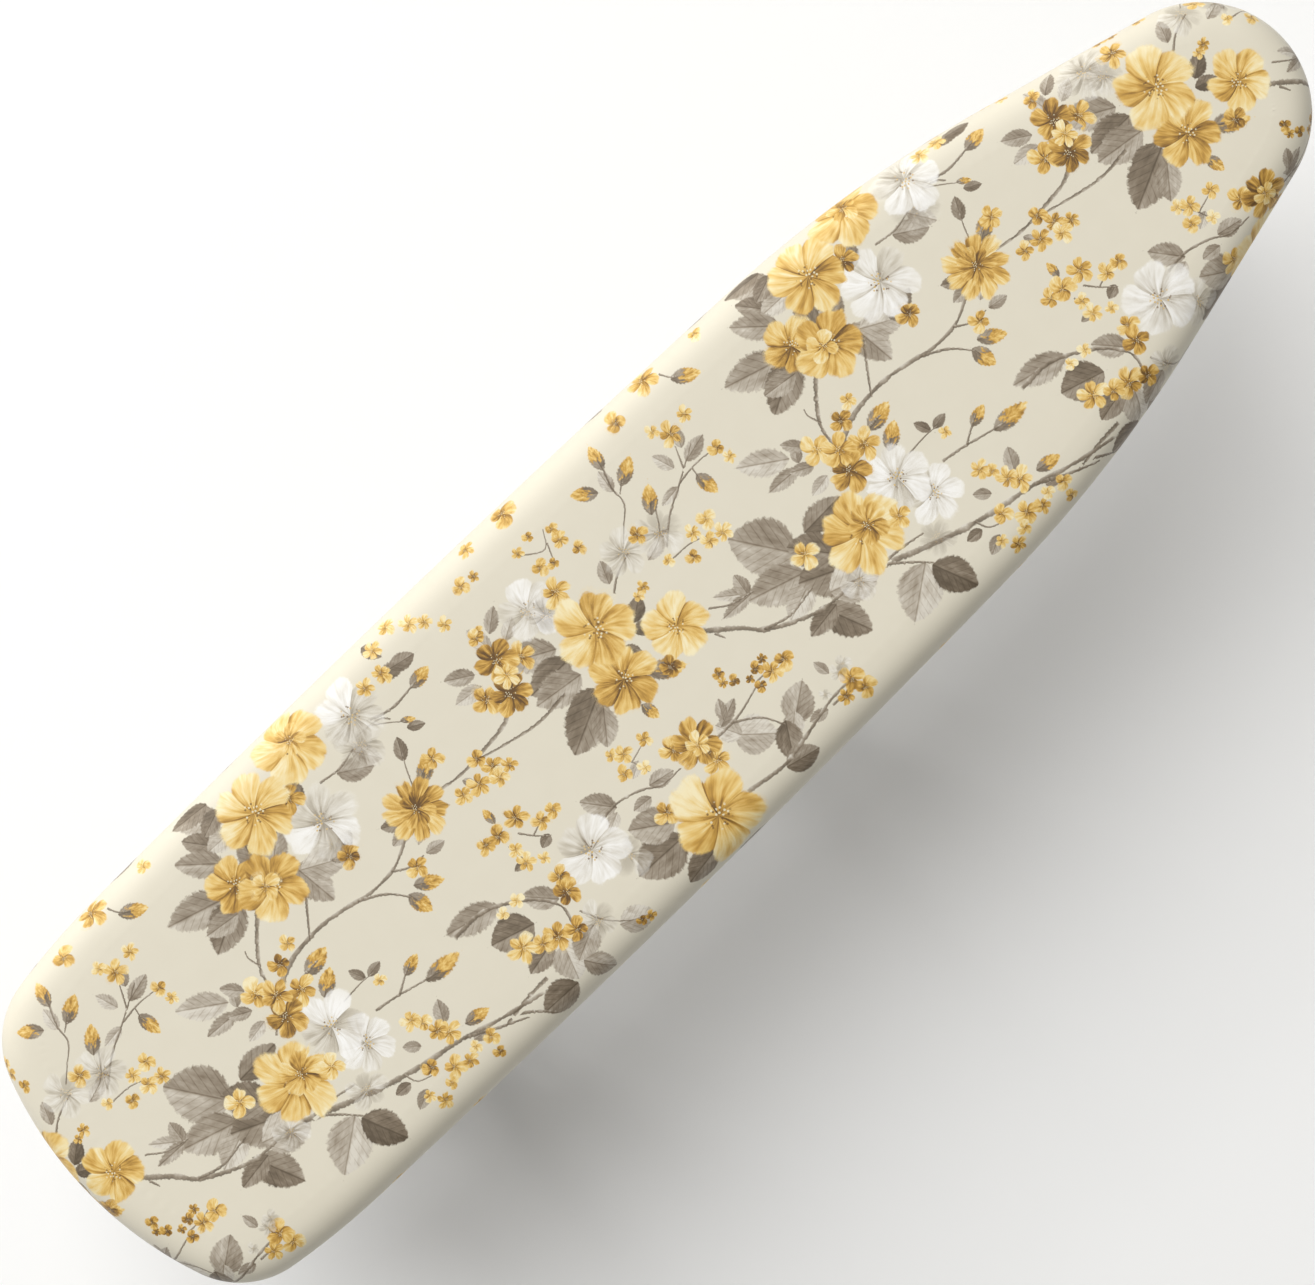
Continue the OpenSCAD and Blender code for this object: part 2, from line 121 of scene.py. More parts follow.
make_camera()
make_light("window", "AREA", 17.0, (-0.35, 1.75, 1.0), size=1.0)
make_light("skylight", "SUN", 2.33, (0.1, 1.2, 2.0), angle=math.radians(45.0))
world = bpy.data.worlds.new("room")
world.use_nodes = True
background = world.node_tree.nodes["Background"].inputs
background["Color"].default_value = (1.0, 0.985, 0.96, 1.0)
background["Strength"].default_value = 0.24
bpy.context.scene.world = world
bpy.context.scene.view_settings.view_transform = "Standard"


# ---- materials as expressions --------------------------------------------------------------------------


class Num:
    """A number that varies over a surface. Arithmetic on it adds Math nodes."""

    def __init__(self, net, socket):
        self.net, self.socket = net, socket

    def math(self, operation, *others):
        made = self.net.node("ShaderNodeMath", {"operation": operation}, [self, *others])
        return Num(self.net, made.outputs[0])

    def __add__(self, other):
        return self.math("ADD", other)

    __radd__ = __add__

    def __sub__(self, other):
        return self.math("SUBTRACT", other)

    def __rsub__(self, other):
        return (self * -1.0) + other

    def __mul__(self, other):
        return self.math("MULTIPLY", other)

    __rmul__ = __mul__

    def __truediv__(self, other):
        return self.math("DIVIDE", other)

    def __pow__(self, power):
        return self.math("POWER", power)

    def __abs__(self):
        return self.math("ABSOLUTE")

    def floor(self):
        return self.math("FLOOR")

    def fract(self):
        return self.math("FRACT")

    def root(self):
        return self.math("SQRT")

    def over(self, edge, steepness):
        """0 below the edge, rising to 1 at a given steepness, and held there."""
        slope = (self - edge) * steepness
        return Num(self.net, self.net.node("ShaderNodeClamp", {}, [slope]).outputs[0])


class Net:
    """One material's nodes, with a principled shader at its end."""

    def __init__(self, name, rough=0.5, metal=0.0, **fixed):
        self.material = bpy.data.materials.new(name)
        self.material.use_nodes = True
        self.tree = self.material.node_tree
        self.shader = self.tree.nodes["Principled BSDF"]
        self.set(Roughness=rough, Metallic=metal, **fixed)
        self.objects = None

    def put(self, socket, value):
        """Links a value's socket, or sets a plain number, vector or colour."""
        if isinstance(value, Num):
            value = value.socket
        if isinstance(value, bpy.types.NodeSocket):
            self.tree.links.new(value, socket)
        elif socket.type == "RGBA" and len(value) == 3:
            socket.default_value = (*value, 1.0)
        else:
            socket.default_value = value

    def set(self, **values):
        """Sets the shader's own sockets: Base_Color stands for Base Color."""
        for key, value in values.items():
            self.put(self.shader.inputs[key.replace("_", " ")], value)

    def node(self, kind, settings, inputs):
        """Adds a node: its settings first, then its inputs by position or by name. A ramp's stops are [place,
        colour] pairs.
        """
        made = self.tree.nodes.new(kind)
        for key, value in settings.items():
            if key == "stops":
                points = made.color_ramp.elements
                while len(points) < len(value):
                    points.new(0.5)
                for point, (place, colour) in zip(points, value):
                    point.position, point.color = place, (*colour, 1.0)
            else:
                setattr(made, key, value)
        pairs = inputs.items() if isinstance(inputs, dict) else enumerate(inputs)
        for key, value in pairs:
            if value is not None:
                self.put(made.inputs[key], value)
        return made

    def point(self, x, y, z=0.0):
        return self.node("ShaderNodeCombineXYZ", {}, [x, y, z]).outputs[0]

    def parts(self, vector):
        made = self.node("ShaderNodeSeparateXYZ", {}, [vector])
        return [Num(self, made.outputs[i]) for i in range(3)]

    def field(self, name):
        """The three numbers of a named attribute."""
        return self.parts(self.node("ShaderNodeAttribute", {"attribute_name": name}, []).outputs["Vector"])

    def place(self):
        """The point on the object, in metres."""
        if self.objects is None:
            self.objects = self.node("ShaderNodeTexCoord", {}, []).outputs["Object"]
        return self.objects

    def noise(self, vector, scale, detail=2.0, rough=0.5, flat=False):
        settings = {"noise_dimensions": "2D" if flat else "3D"}
        values = {"Vector": vector, "Scale": scale, "Detail": detail, "Roughness": rough}
        return Num(self, self.node("ShaderNodeTexNoise", settings, values).outputs[0])

    def cells(self, vector, scale, flat=False):
        """Distance to the nearest of a set of scattered points, and a random number for each."""
        settings = {"voronoi_dimensions": "2D" if flat else "3D"}
        made = self.node("ShaderNodeTexVoronoi", settings, {"Vector": vector, "Scale": scale})
        return Num(self, made.outputs["Distance"]), self.chance(made.outputs["Position"])

    def chance(self, vector):
        """A random number for each value of a vector."""
        return Num(self, self.node("ShaderNodeTexWhiteNoise", {}, {"Vector": vector}).outputs["Value"])

    def ramp(self, value, *stops):
        return self.node("ShaderNodeValToRGB", {"stops": stops}, [value]).outputs[0]

    def mix(self, factor, a, b):
        settings = {"data_type": "RGBA", "clamp_factor": True}
        return self.node("ShaderNodeMix", settings, {0: factor, 6: a, 7: b}).outputs[2]

    def bump(self, height, depth, strength=1.0):
        """Sets the shader's normal from a height of so many metres."""
        values = {"Strength": strength, "Distance": depth, "Height": height}
        self.set(Normal=self.node("ShaderNodeBump", {}, values).outputs[0])


def stretched(net, vector, x, y, z):
    """A vector with each of its parts scaled."""
    return net.node("ShaderNodeVectorMath", {"operation": "MULTIPLY"}, [vector, (x, y, z)]).outputs[0]


# ---- meshes from grids ---------------------------------------------------------------------------------


def make_piece(name, points, faces, material, body):
    """A mesh piece from points in millimetres and faces of vertex numbers, riding on a body."""
    mesh = bpy.data.meshes.new(name)
    mesh.from_pydata((np.asarray(points) * MM).tolist(), [], [list(map(int, f)) for f in faces])
    mesh.polygons.foreach_set("use_smooth", [True] * len(mesh.polygons))
    mesh.materials.append(material)
    mesh.update()
    piece = add_object(name, mesh)
    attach(piece, body)
    return piece


def grid_faces(rows, columns, closed_rows=False, closed_columns=False, start=0):
    """Quads between the points of a rows by columns grid, numbered along the columns first. A closed side
    joins its last line to its first.
    """
    r = np.arange(rows if closed_rows else rows - 1)[:, None]
    c = np.arange(columns if closed_columns else columns - 1)[None, :]
    r2, c2 = (r + 1) % rows, (c + 1) % columns
    corners = [r * columns + c, r * columns + c2, r2 * columns + c2, r2 * columns + c]
    return np.stack([np.broadcast_to(k, (len(r), c.size)).ravel() for k in corners], axis=1) + start


def weld(points, faces):
    """Points and faces with points in the same place made one, and the corners that come together dropped."""
    keys = np.round(np.asarray(points, float), 4)
    _, first, again = np.unique(keys, axis=0, return_index=True, return_inverse=True)
    renumbered = [again.ravel()[np.asarray(face)].tolist() for face in faces]
    joined = [[a for a, b in zip(face, face[1:] + face[:1]) if a != b] for face in renumbered]
    return np.asarray(points)[first], [face for face in joined if len(face) > 2]


def outward(points, faces):
    """The faces, all turned round if the volume that they close, the sum of a.(b x c)/6 over their triangles,
    is negative.
    """
    points = np.asarray(points)
    fans = np.array([(f[0], f[i], f[i + 1]) for f in faces for i in range(1, len(f) - 1)])
    a, b, c = (points[fans[:, i]] for i in range(3))
    volume = (a * np.cross(b, c)).sum()
    return [list(f)[::-1] for f in faces] if volume < 0 else faces


def swept(path, normal, section):
    """A closed section carried round a closed path: P = path + a x normal + b x Z for each [a, b] of the
    section.
    """
    sideways = section[None, :, :1] * normal[:, None]
    upwards = section[None, :, 1:] * np.array([0.0, 0.0, 1.0])
    ring = path[:, None] + sideways + upwards
    return ring.reshape(-1, 3), grid_faces(len(path), len(section), True, True).tolist()


def round_loop(radius, count):
    """A circle as [a, b] pairs."""
    t = np.linspace(0, 2 * np.pi, count, endpoint=False)
    return radius * np.stack([np.cos(t), np.sin(t)], axis=-1)


# ---- the board's outline -------------------------------------------------------------------------------

NOSE_R, TAPER_LEN, SHOULDER_R, SIDE_R, QUARTER_R, CORNER_R = 35.0, 60.7, 432.0, 5600.0, 250.0, 28.5
HEADINGS = np.radians([90.0, 165.5, 178.26, 181.07, 189.0, 250.0, 270.0])


def trace_outline():
    """The +Y half of the outline from nose tip to tail, as x, y, heading and distance run. Each arc of radius
    r from heading a to b moves by r (sin b - sin a, cos a - cos b), and the taper runs straight after the
    first arc.
    """
    radii = [NOSE_R, SHOULDER_R, SIDE_R, QUARTER_R, CORNER_R]
    x, y, heading, run = [np.zeros(1)], [np.zeros(1)], [HEADINGS[:1]], [np.zeros(1)]

    def arc(r, a, b):
        t = np.linspace(a, b, 400)[1:]
        x.append(x[-1][-1] + r * (np.sin(t) - math.sin(a)))
        y.append(y[-1][-1] + r * (math.cos(a) - np.cos(t)))
        heading.append(t)
        run.append(run[-1][-1] + r * (t - a))

    arc(radii[0], HEADINGS[0], HEADINGS[1])
    x.append(x[-1][-1:] + TAPER_LEN * math.cos(HEADINGS[1]))
    y.append(y[-1][-1:] + TAPER_LEN * math.sin(HEADINGS[1]))
    heading.append(HEADINGS[1:2])
    run.append(run[-1][-1:] + TAPER_LEN)
    for k, r in enumerate(radii[1:], start=1):
        arc(r, HEADINGS[k], HEADINGS[k + 1])
    arc(-y[-1][-1] / math.cos(HEADINGS[5]), HEADINGS[5], HEADINGS[6])
    x, y, heading, run = map(np.concatenate, (x, y, heading, run))
    return x - (x[0] + x[-1]) / 2, y, heading, run


OUTLINE = trace_outline()
HALF_RUN = OUTLINE[3][-1]
HEM_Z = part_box("cover")[0][2] / MM


def outline_at(run):
    """Points of the outline and its outward normals at distances run from the nose tip, round by +Y. The -Y
    half mirrors the +Y half.
    """
    run = np.mod(run, 2 * HALF_RUN)
    side = np.where(run > HALF_RUN, -1.0, 1.0)
    run = np.minimum(run, 2 * HALF_RUN - run)
    x, y, heading = (np.interp(run, OUTLINE[3], line) for line in OUTLINE[:3])
    points = np.stack([x, side * y], axis=-1)
    return points, np.stack([np.sin(heading), -side * np.cos(heading)], axis=-1)


def along_curve(knots, count):
    """A smooth curve through knots, each span the cubic that leaves and meets them at half the step between
    their neighbours, and count points evenly along it.
    """
    k = np.asarray(knots, float)
    k = np.concatenate([[2 * k[0] - k[1]], k, [2 * k[-1] - k[-2]]])
    t = np.linspace(0, 1, 24, endpoint=False)[:, None]
    spans = [
        0.5 * (2 * b + (c - a) * t + (2 * a - 5 * b + 4 * c - d) * t**2 + (3 * b - a - 3 * c + d) * t**3)
        for a, b, c, d in zip(k[:-3], k[1:-2], k[2:-1], k[3:])
    ]
    line = np.concatenate(spans + [k[-2:-1]])
    run = np.concatenate([[0], np.cumsum(np.linalg.norm(np.diff(line, axis=0), axis=1))])
    even = np.linspace(0, run[-1], count)
    return np.stack([np.interp(even, run, line[:, i]) for i in range(line.shape[1])], axis=-1), even


# ---- the cover's cloth ---------------------------------------------------------------------------------

CROWN = 14.0
COVER_TOP = 22.0
ALONG, ACROSS, DOWN = 432, 96, 40
# The cloth's section from the crown over the rounded edge and under to the hem, as inset and height.
EDGE = [
    (14, 21.75), (12, 21.63), (10, 21.43), (7.5, 20.98), (5, 20.05), (3, 18.6), (1.5, 16.4), (0.6, 13.8),
    (0.15, 10.8), (0.05, 7.6), (0.5, 4.4), (1.7, 1.9), (3.6, 0.75), (6.5, 0.25), (12, 0.2), (18, 0.3),
    (24, 0.45),
]


def gathers(run):
    """How far the hem is pushed up or down by its pleats: a wave of about 7 mm pitch whose pitch and height
    drift round the outline.
    """
    turn = 2 * math.pi * run / (2 * HALF_RUN)
    drift = 2.3 * np.sin(9 * turn + 0.7) + 1.7 * np.sin(23 * turn + 2.1) + 0.8 * np.sin(47 * turn)
    strength = 0.75 + 0.25 * np.sin(14 * turn + 1.3)
    return strength * (np.sin(168 * turn + drift) + 0.35 * np.sin(301 * turn + 2 * drift))


def cover_surface():
    """The cover as one grid: the top is filled between four stretches of the crown line, S = (1-v) A(u) + v
    B(u) + (1-u) C(v) + u D(v) less the same blend of the corners, and rings go on from it down the side and
    under, where P = outline - inset x normal. Returns points, faces and each point's place on the flat cloth,
    which runs on outwards from the crown by the distance down the section.
    """
    nose_corner = NOSE_R * math.pi / 4
    tail_corner = np.interp((HEADINGS[4] + HEADINGS[5]) / 2, OUTLINE[2], OUTLINE[3])
    u, v = np.linspace(0, 1, ALONG + 1), np.linspace(0, 1, ACROSS + 1)
    side_run = tail_corner + (nose_corner - tail_corner) * u
    tail_run = 2 * HALF_RUN - tail_corner + (2 * tail_corner - 2 * HALF_RUN) * v
    nose_run = nose_corner * (2 * v - 1)

    def crown(run):
        points, normals = outline_at(run)
        return points - CROWN * normals

    low, high, tail, nose = crown(-side_run), crown(side_run), crown(tail_run), crown(nose_run)
    a, b = u[:, None, None], v[None, :, None]
    top = (1 - b) * low[:, None] + b * high[:, None] + (1 - a) * tail[None] + a * nose[None]
    top -= (1 - a) * ((1 - b) * tail[0] + b * tail[-1]) + a * ((1 - b) * nose[0] + b * nose[-1])

    number = np.arange(top.shape[0] * top.shape[1]).reshape(top.shape[:2])
    middle = ACROSS // 2
    loop = np.concatenate([
        number[-1, middle:-1], number[:0:-1, -1], number[0, :0:-1], number[:-1, 0], number[-1, :middle],
    ])
    run = np.concatenate([
        nose_run[middle:-1], side_run[:0:-1], tail_run[:0:-1], 2 * HALF_RUN - side_run[:-1],
        2 * HALF_RUN + nose_run[:middle],
    ])

    flat = top.reshape(-1, 2)
    ring = flat[loop]
    inside = np.concatenate([
        np.sqrt(((some[:, None] - ring[None, ::4]) ** 2).sum(-1).min(1)) for some in np.array_split(flat, 40)
    ])
    height = COVER_TOP - 0.25 * np.exp(-inside / 5)

    section, down = along_curve(EDGE, DOWN + 1)
    section, down = section[1:], down[1:]
    points, normals = outline_at(run)
    under = np.clip((section[:, 0] - 5) / 19, 0, 1) * (section[:, 1] < 3)
    rings = points[None] - section[:, :1, None] * normals[None]
    pleat = gathers(run)[None] * (under**1.3)[:, None]
    ring_height = section[:, 1][:, None] + 0.75 * pleat - 0.3 * (under**2)[:, None]
    cloth = points - CROWN * normals
    spread = cloth[None] + down[:, None, None] * normals[None]

    xyz = np.concatenate([np.c_[flat, HEM_Z + height], np.dstack([rings, HEM_Z + ring_height]).reshape(-1, 3)])
    lay = np.concatenate([flat, spread.reshape(-1, 2)])
    quads = grid_faces(ALONG + 1, ACROSS + 1)[:, ::-1]
    m, first = len(loop), len(flat)
    rows = np.concatenate([loop[None], first + np.arange(DOWN * m).reshape(DOWN, m)])
    ahead = np.roll(rows, -1, axis=1)
    bands = np.stack([rows[:-1].ravel(), rows[1:].ravel(), ahead[1:].ravel(), ahead[:-1].ravel()], axis=1)
    return xyz, np.concatenate([quads, bands]), lay


# ---- the printed pattern -------------------------------------------------------------------------------
# One repeat of the print, in millimetres on the flat cloth: x along the board and y across it.

PALE, BUTTER, HONEY, AMBER, WHITE, SMOKE = 0.82, 0.66, 0.50, 0.30, 2.62, 2.25
LIGHT, MID, DARK, UMBER = 0.84, 0.62, 0.38, 0.20
REPEAT, LEAN = 246.0, 0.08
ROW = (118.0, 134.0)
PRINT_SCALE, PRINT_SHIFT = 0.987, (1.5, 0.0)
print_parts = {"leaf": [], "twig": [], "flower": []}


def flower(x, y, radius, tone=HONEY, petals=5):
    """A flower of a number of petals. A small one's are cut apart more deeply."""
    notch = 0.24 if radius > 9 else 0.34 if radius > 6 else 0.5
    look = {"tone": tone, "shape": petals + notch, "turn": (37 * x + 91 * y) % 360}
    print_parts["flower"].append({"line": [(x, y)], "size": radius, **look})


def leaf(x, y, length, heading, tone=MID, width=0.3):
    """A leaf from its stalk end, pointing along a heading in degrees."""
    print_parts["leaf"].append({
        "line": [(x, y)], "size": length, "tone": tone, "shape": width, "turn": heading})


def bud(x, y, length, heading, width=0.3):
    """A closed flower in its sepals, narrower than a leaf of this width."""
    leaf(x, y, length, heading, tone=2.58, width=0.8 * width)


def twig(width, *points):
    """A twig of this width where it starts, on a smooth curve through points."""
    print_parts["twig"].append({"line": points, "size": width, "tone": DARK, "shape": 0.0})


def blossoms(radius, tone, *points):
    """Small flowers of about one size."""
    for k, (x, y) in enumerate(points):
        flower(x, y, 0.9 * radius * (1 + 0.2 * math.sin(5 * k + x)), tone, (3, 4, 5)[(k + int(abs(x))) % 3])


def each(draw, *parts):
    """Draws a part of the print for each row of its numbers."""
    for part in parts:
        draw(*part)


def draw_trio():
    """Three open flowers and a dark double one, on a long bough."""
    each(twig,
        (1.0, (-46, 8), (-58, 7.3), (-70, 9.6), (-79, 12)),
        (1.2, (-59, 19), (-66, 14.6), (-76, 13.2), (-87, 12.6), (-97, 14)),
        (0.7, (-13, 20), (-8, 23.5), (-1, 26)), (0.5, (-26, 49), (-19, 45), (-15, 50)),
        (0.5, (-17, 46), (-20, 39)),
    )
    each(leaf,
        (-38, 20, 17, 152, MID, 0.34), (-37, 15, 17, 180, DARK, 0.34), (-38, 9, 17, 172, MID, 0.36),
        (-38, 3, 14, 196, DARK, 0.32), (-38, 1, 21, 205, DARK, 0.36), (-40, -3, 13, 232, MID, 0.34),
        (-15, 9, 9, 35, UMBER, 0.34), (-17, 7, 8, -20, UMBER, 0.34), (-23, 6, 8, -75, UMBER, 0.4),
        (-12, 23, 8, 68, MID, 0.32), (-62, 32, 10, 148, MID, 0.3), (-63, 28, 10, 172, LIGHT, 0.3),
        (-53, 34, 10, 98, LIGHT, 0.3), (-50, 38, 9, 38, MID, 0.28), (-48, 33, 8, 30, LIGHT, 0.3),
    )
    each(flower,
        (-36, 35, 10.5, WHITE), (-33, 30, 7.5, SMOKE, 4), (-26, 33, 5.2, HONEY), (-48, 26, 5.5, HONEY),
        (-65, 24, 5.6, HONEY, 4), (-54, 31, 7.5, AMBER), (-58, 20, 7.5, AMBER, 6), (-55, 25, 4.4, BUTTER, 6),
        (-29.5, -1.5, 11.6, HONEY, 6), (-6, -1, 10.8, BUTTER, 5), (-25, 16, 14, BUTTER, 5),
    )
    bud(-23, -5, 13, -32, 0.34)
    flower(-16, -9, 4.2, AMBER, 4)
    bud(-31, -11, 7, -80, 0.4)
    each(blossoms,
        (2.8, HONEY, (-26, 50), (-20, 51.5), (-13, 48), (-13.5, 44), (-11, 38), (-8, 14), (-5, 15)),
        (3.0, HONEY, (-24, 42), (-20, 40), (-46, 55), (-41, 54.5), (-37, 63), (-52, 41), (-54, 40)),
        (3.4, BUTTER, (-80, 60), (-72, 63), (-66, 58), (-62, 55), (-58, 50)), (7.5, HONEY, (-21, 63)),
    )
    each(leaf,
        (-80, 52, 9, -12, DARK, 0.34), (-82, 64, 8, -70, DARK, 0.34),
    )
    blossoms(2.6, AMBER, (-8, -24), (-5, -26), (-7, -21))
    flower(-83, 53, 3.4, BUTTER)


def draw_tower():
    """A standing spray of gold and white flowers over a fan of leaves."""
    each(twig,
        (1.3, (82, 27), (75, 19.5), (70, 12), (69, 4)), (0.6, (71, 13), (69.5, 17.5), (70, 20)),
        (0.9, (99, 23), (93, 15), (88, 8)), (0.7, (122, 41.5), (130, 40.5), (137, 42)),
        (0.9, (146, 45), (155, 42.6), (166, 43.5)), (0.5, (145, 44), (151, 40), (156, 36)),
        (0.6, (152, 40.5), (149, 43), (140, 44)),
    )
    each(leaf,
        (91, 57, 15, 152, MID, 0.34), (90, 62, 14, 172, DARK, 0.3), (84, 50, 11, 128, DARK, 0.34),
        (92, 50, 11, 178, LIGHT, 0.36), (92, 58, 10, 200, DARK, 0.34), (83, 44, 16, 138, MID, 0.3),
        (77, 36, 21, 163, MID, 0.3), (79, 34, 19, 208, DARK, 0.34), (76, 30, 12, 172, MID, 0.34),
        (90, 34, 13, 78, DARK, 0.36), (94, 33, 12, 40, MID, 0.36), (99, 29, 17, -84, MID, 0.34),
        (100, 26, 15, -28, LIGHT, 0.34), (112, 41, 9, 60, DARK, 0.36), (128, 40, 12, -32, MID, 0.34),
        (136, 42, 10, -58, LIGHT, 0.34), (112, 21, 9, 22, DARK, 0.3),
    )
    each(flower,
        (139, 41, 9, SMOKE, 4), (143, 50, 12, WHITE, 6), (113, 25, 7.5, SMOKE, 4), (115, 32, 12.8, WHITE, 6),
        (111, 45, 5.5, AMBER), (122, 57, 13, BUTTER, 5), (123, 58, 6, HONEY, 5), (100, 49, 13.6, BUTTER, 6),
        (81, 37, 10, HONEY, 5), (90, 29, 12, HONEY, 5), (88, 30, 5.5, BUTTER, 4),
    )
    bud(109, 22, 10, -20, 0.34)
    flower(114.5, 18.5, 4.2, AMBER, 4)
    each(bud,
        (163, 43, 9, 8, 0.36), (154, 38, 5, -35, 0.3),
    )
    blossoms(3.4, BUTTER, (152, 53), (159, 52))
    leaf(157, 52, 11, -8, DARK, 0.26)


def draw_star():
    """A many-petalled flower on the long bough, with buds below it."""
    each(twig,
        (1.3, (-176, 3), (-166, 7.5), (-153, 9), (-141, 7.4), (-133, 5.6), (-123, 6), (-116, 9), (-109, 13)),
        (0.9, (-138, 6.6), (-130, 2), (-125, -4)), (0.7, (-124, 6), (-119, 3), (-113, 2.5)),
        (0.5, (-101, 19), (-98, 26), (-95, 31)), (0.7, (-98, 20), (-94, 22)),
    )
    each(leaf,
        (-110, 14, 8, 150, DARK, 0.32), (-110, 12, 8, 185, MID, 0.32), (-97, 28, 8, 62, DARK, 0.3),
        (-112, 2.5, 7, -10, MID, 0.3), (-112, 6, 8, 40, LIGHT, 0.24),
    )
    each(flower,
        (-104.5, 14.5, 11, HONEY, 9), (-104.5, 14.5, 6.5, AMBER, 7),
    )
    bud(-98, 19, 10, 32, 0.36)
    flower(-90, 22.5, 4, HONEY, 4)
    each(bud,
        (-122, -2, 10, -32, 0.34), (-125, -3, 9, -78, 0.42),
    )
    flower(-117, 1.4, 4, HONEY, 4)
    leaf(-89, 35, 6, -30, DARK, 0.3)
    blossoms(3.8, HONEY, (-91, 7.4), (-85, 6.4), (-78, 7.4), (-74, 4.2), (-80, 12.5))
    flower(-79, 3.4, 3.6, BUTTER, 4)
    leaf(-88, 11, 5, -60, MID, 0.3)


def draw_rose():
    """A full double flower among broad leaves, white flowers beside it and a bough under it."""
    each(twig,
        (1.5, (-1, -8), (8, -15.5), (13, -21), (22, -26), (32, -29.4), (44, -29.5)),
        (0.9, (13, -21), (22, -23.4), (33, -22)), (0.8, (1, -11), (2.5, -14.5)),
        (1.7, (50, -31), (60, -34.8), (75, -40.4), (90, -44.4), (105, -47.2), (118, -51), (134, -54.5)),
        (1.0, (106, -47.5), (115, -52), (126, -57)), (0.9, (54, -32), (62, -32.6), (70, -34)),
        (0.9, (55, -33), (61, -38), (66, -43)), (0.6, (84, -42.5), (86, -47), (91, -49)),
        (1.2, (69, 7), (66, 0), (61, -6)), (0.9, (78, 1.4), (86, 2)),
        (0.8, (90, -22), (98, -23.4), (106, -25.4), (113, -27)),
        (0.7, (99, -23.6), (104, -20.6), (108, -18.6)), (0.5, (84, -13), (92, -12.5), (97, -13)),
        (0.6, (70, 4), (80, 8.4), (93, 9.4)), (0.6, (5, -4), (11, -8), (19, -10)),
    )
    each(leaf,
        (37, -11, 22, 124, MID, 0.44), (43, -8, 16, 2, DARK, 0.3), (35, -17, 20, 163, MID, 0.34),
        (34, -20, 14, 200, LIGHT, 0.34), (50, -27, 21, 155, DARK, 0.42), (46, -20, 16, 128, DARK, 0.4),
        (31, -29, 17, -68, DARK, 0.36), (35, -31, 13, 188, DARK, 0.3), (64, -41, 19, 216, LIGHT, 0.4),
        (65, -43, 16, -68, UMBER, 0.38), (36, -27, 17, -18, LIGHT, 0.42), (56, 12, 17, 146, LIGHT, 0.28),
        (56, 8, 12, 176, MID, 0.24), (57, 9, 6, 60, MID, 0.34), (18, -10, 12, 142, LIGHT, 0.2),
        (17, -10, 8, 82, MID, 0.34), (18, -10, 12, 178, MID, 0.2), (60, 5, 8, 152, MID, 0.3),
        (61, 0, 8, 190, LIGHT, 0.3), (62, 11, 8, 130, MID, 0.3),
    )
    each(flower,
        (45, -31, 6.5, SMOKE, 4), (72, -38, 7, SMOKE, 5), (81, -27, 10, WHITE, 6), (76, -16, 11.5, WHITE, 6),
        (38.5, -13, 5.2, BUTTER, 4), (64, 8, 5.6, BUTTER, 4), (76, -1, 5.6, HONEY, 5),
        (67, -4, 7.2, AMBER, 5), (69, 3, 6, HONEY, 5), (76, 9.4, 4, AMBER, 4), (82, 12.4, 3.2, BUTTER, 4),
        (56, -20.5, 14, BUTTER, 6), (59.5, -20, 7.6, HONEY, 5), (68, -25, 4.5, BUTTER, 4),
    )
    each(bud,
        (80, 1, 11, 12, 0.36), (80, -8, 10, 36, 0.36), (104, -20.6, 8, 18, 0.34), (108, -26.4, 14, -3, 0.28),
        (109, -44.6, 9, -10, 0.34),
    )
    each(leaf,
        (94, -12.6, 6, 112, DARK, 0.3), (95, -12.6, 6, 8, DARK, 0.3), (94, -40, 6, 140, MID, 0.34),
        (104, -40, 8, 62, MID, 0.34), (84, -46, 6, 175, DARK, 0.34), (87, -51, 7, 205, MID, 0.34),
        (108, -50, 6, -10, MID, 0.34),
    )
    each(blossoms,
        (4.4, BUTTER, (99, -35), (103.5, -43), (96.5, -32)),
        (3.8, HONEY, (101, -40), (92, -47), (98, -52), (89, -57.5), (103, -54), (112, -58.5)),
        (3.2, BUTTER, (86, -53), (107, -52), (94, -55), (97, -16), (113, -53)),
    )


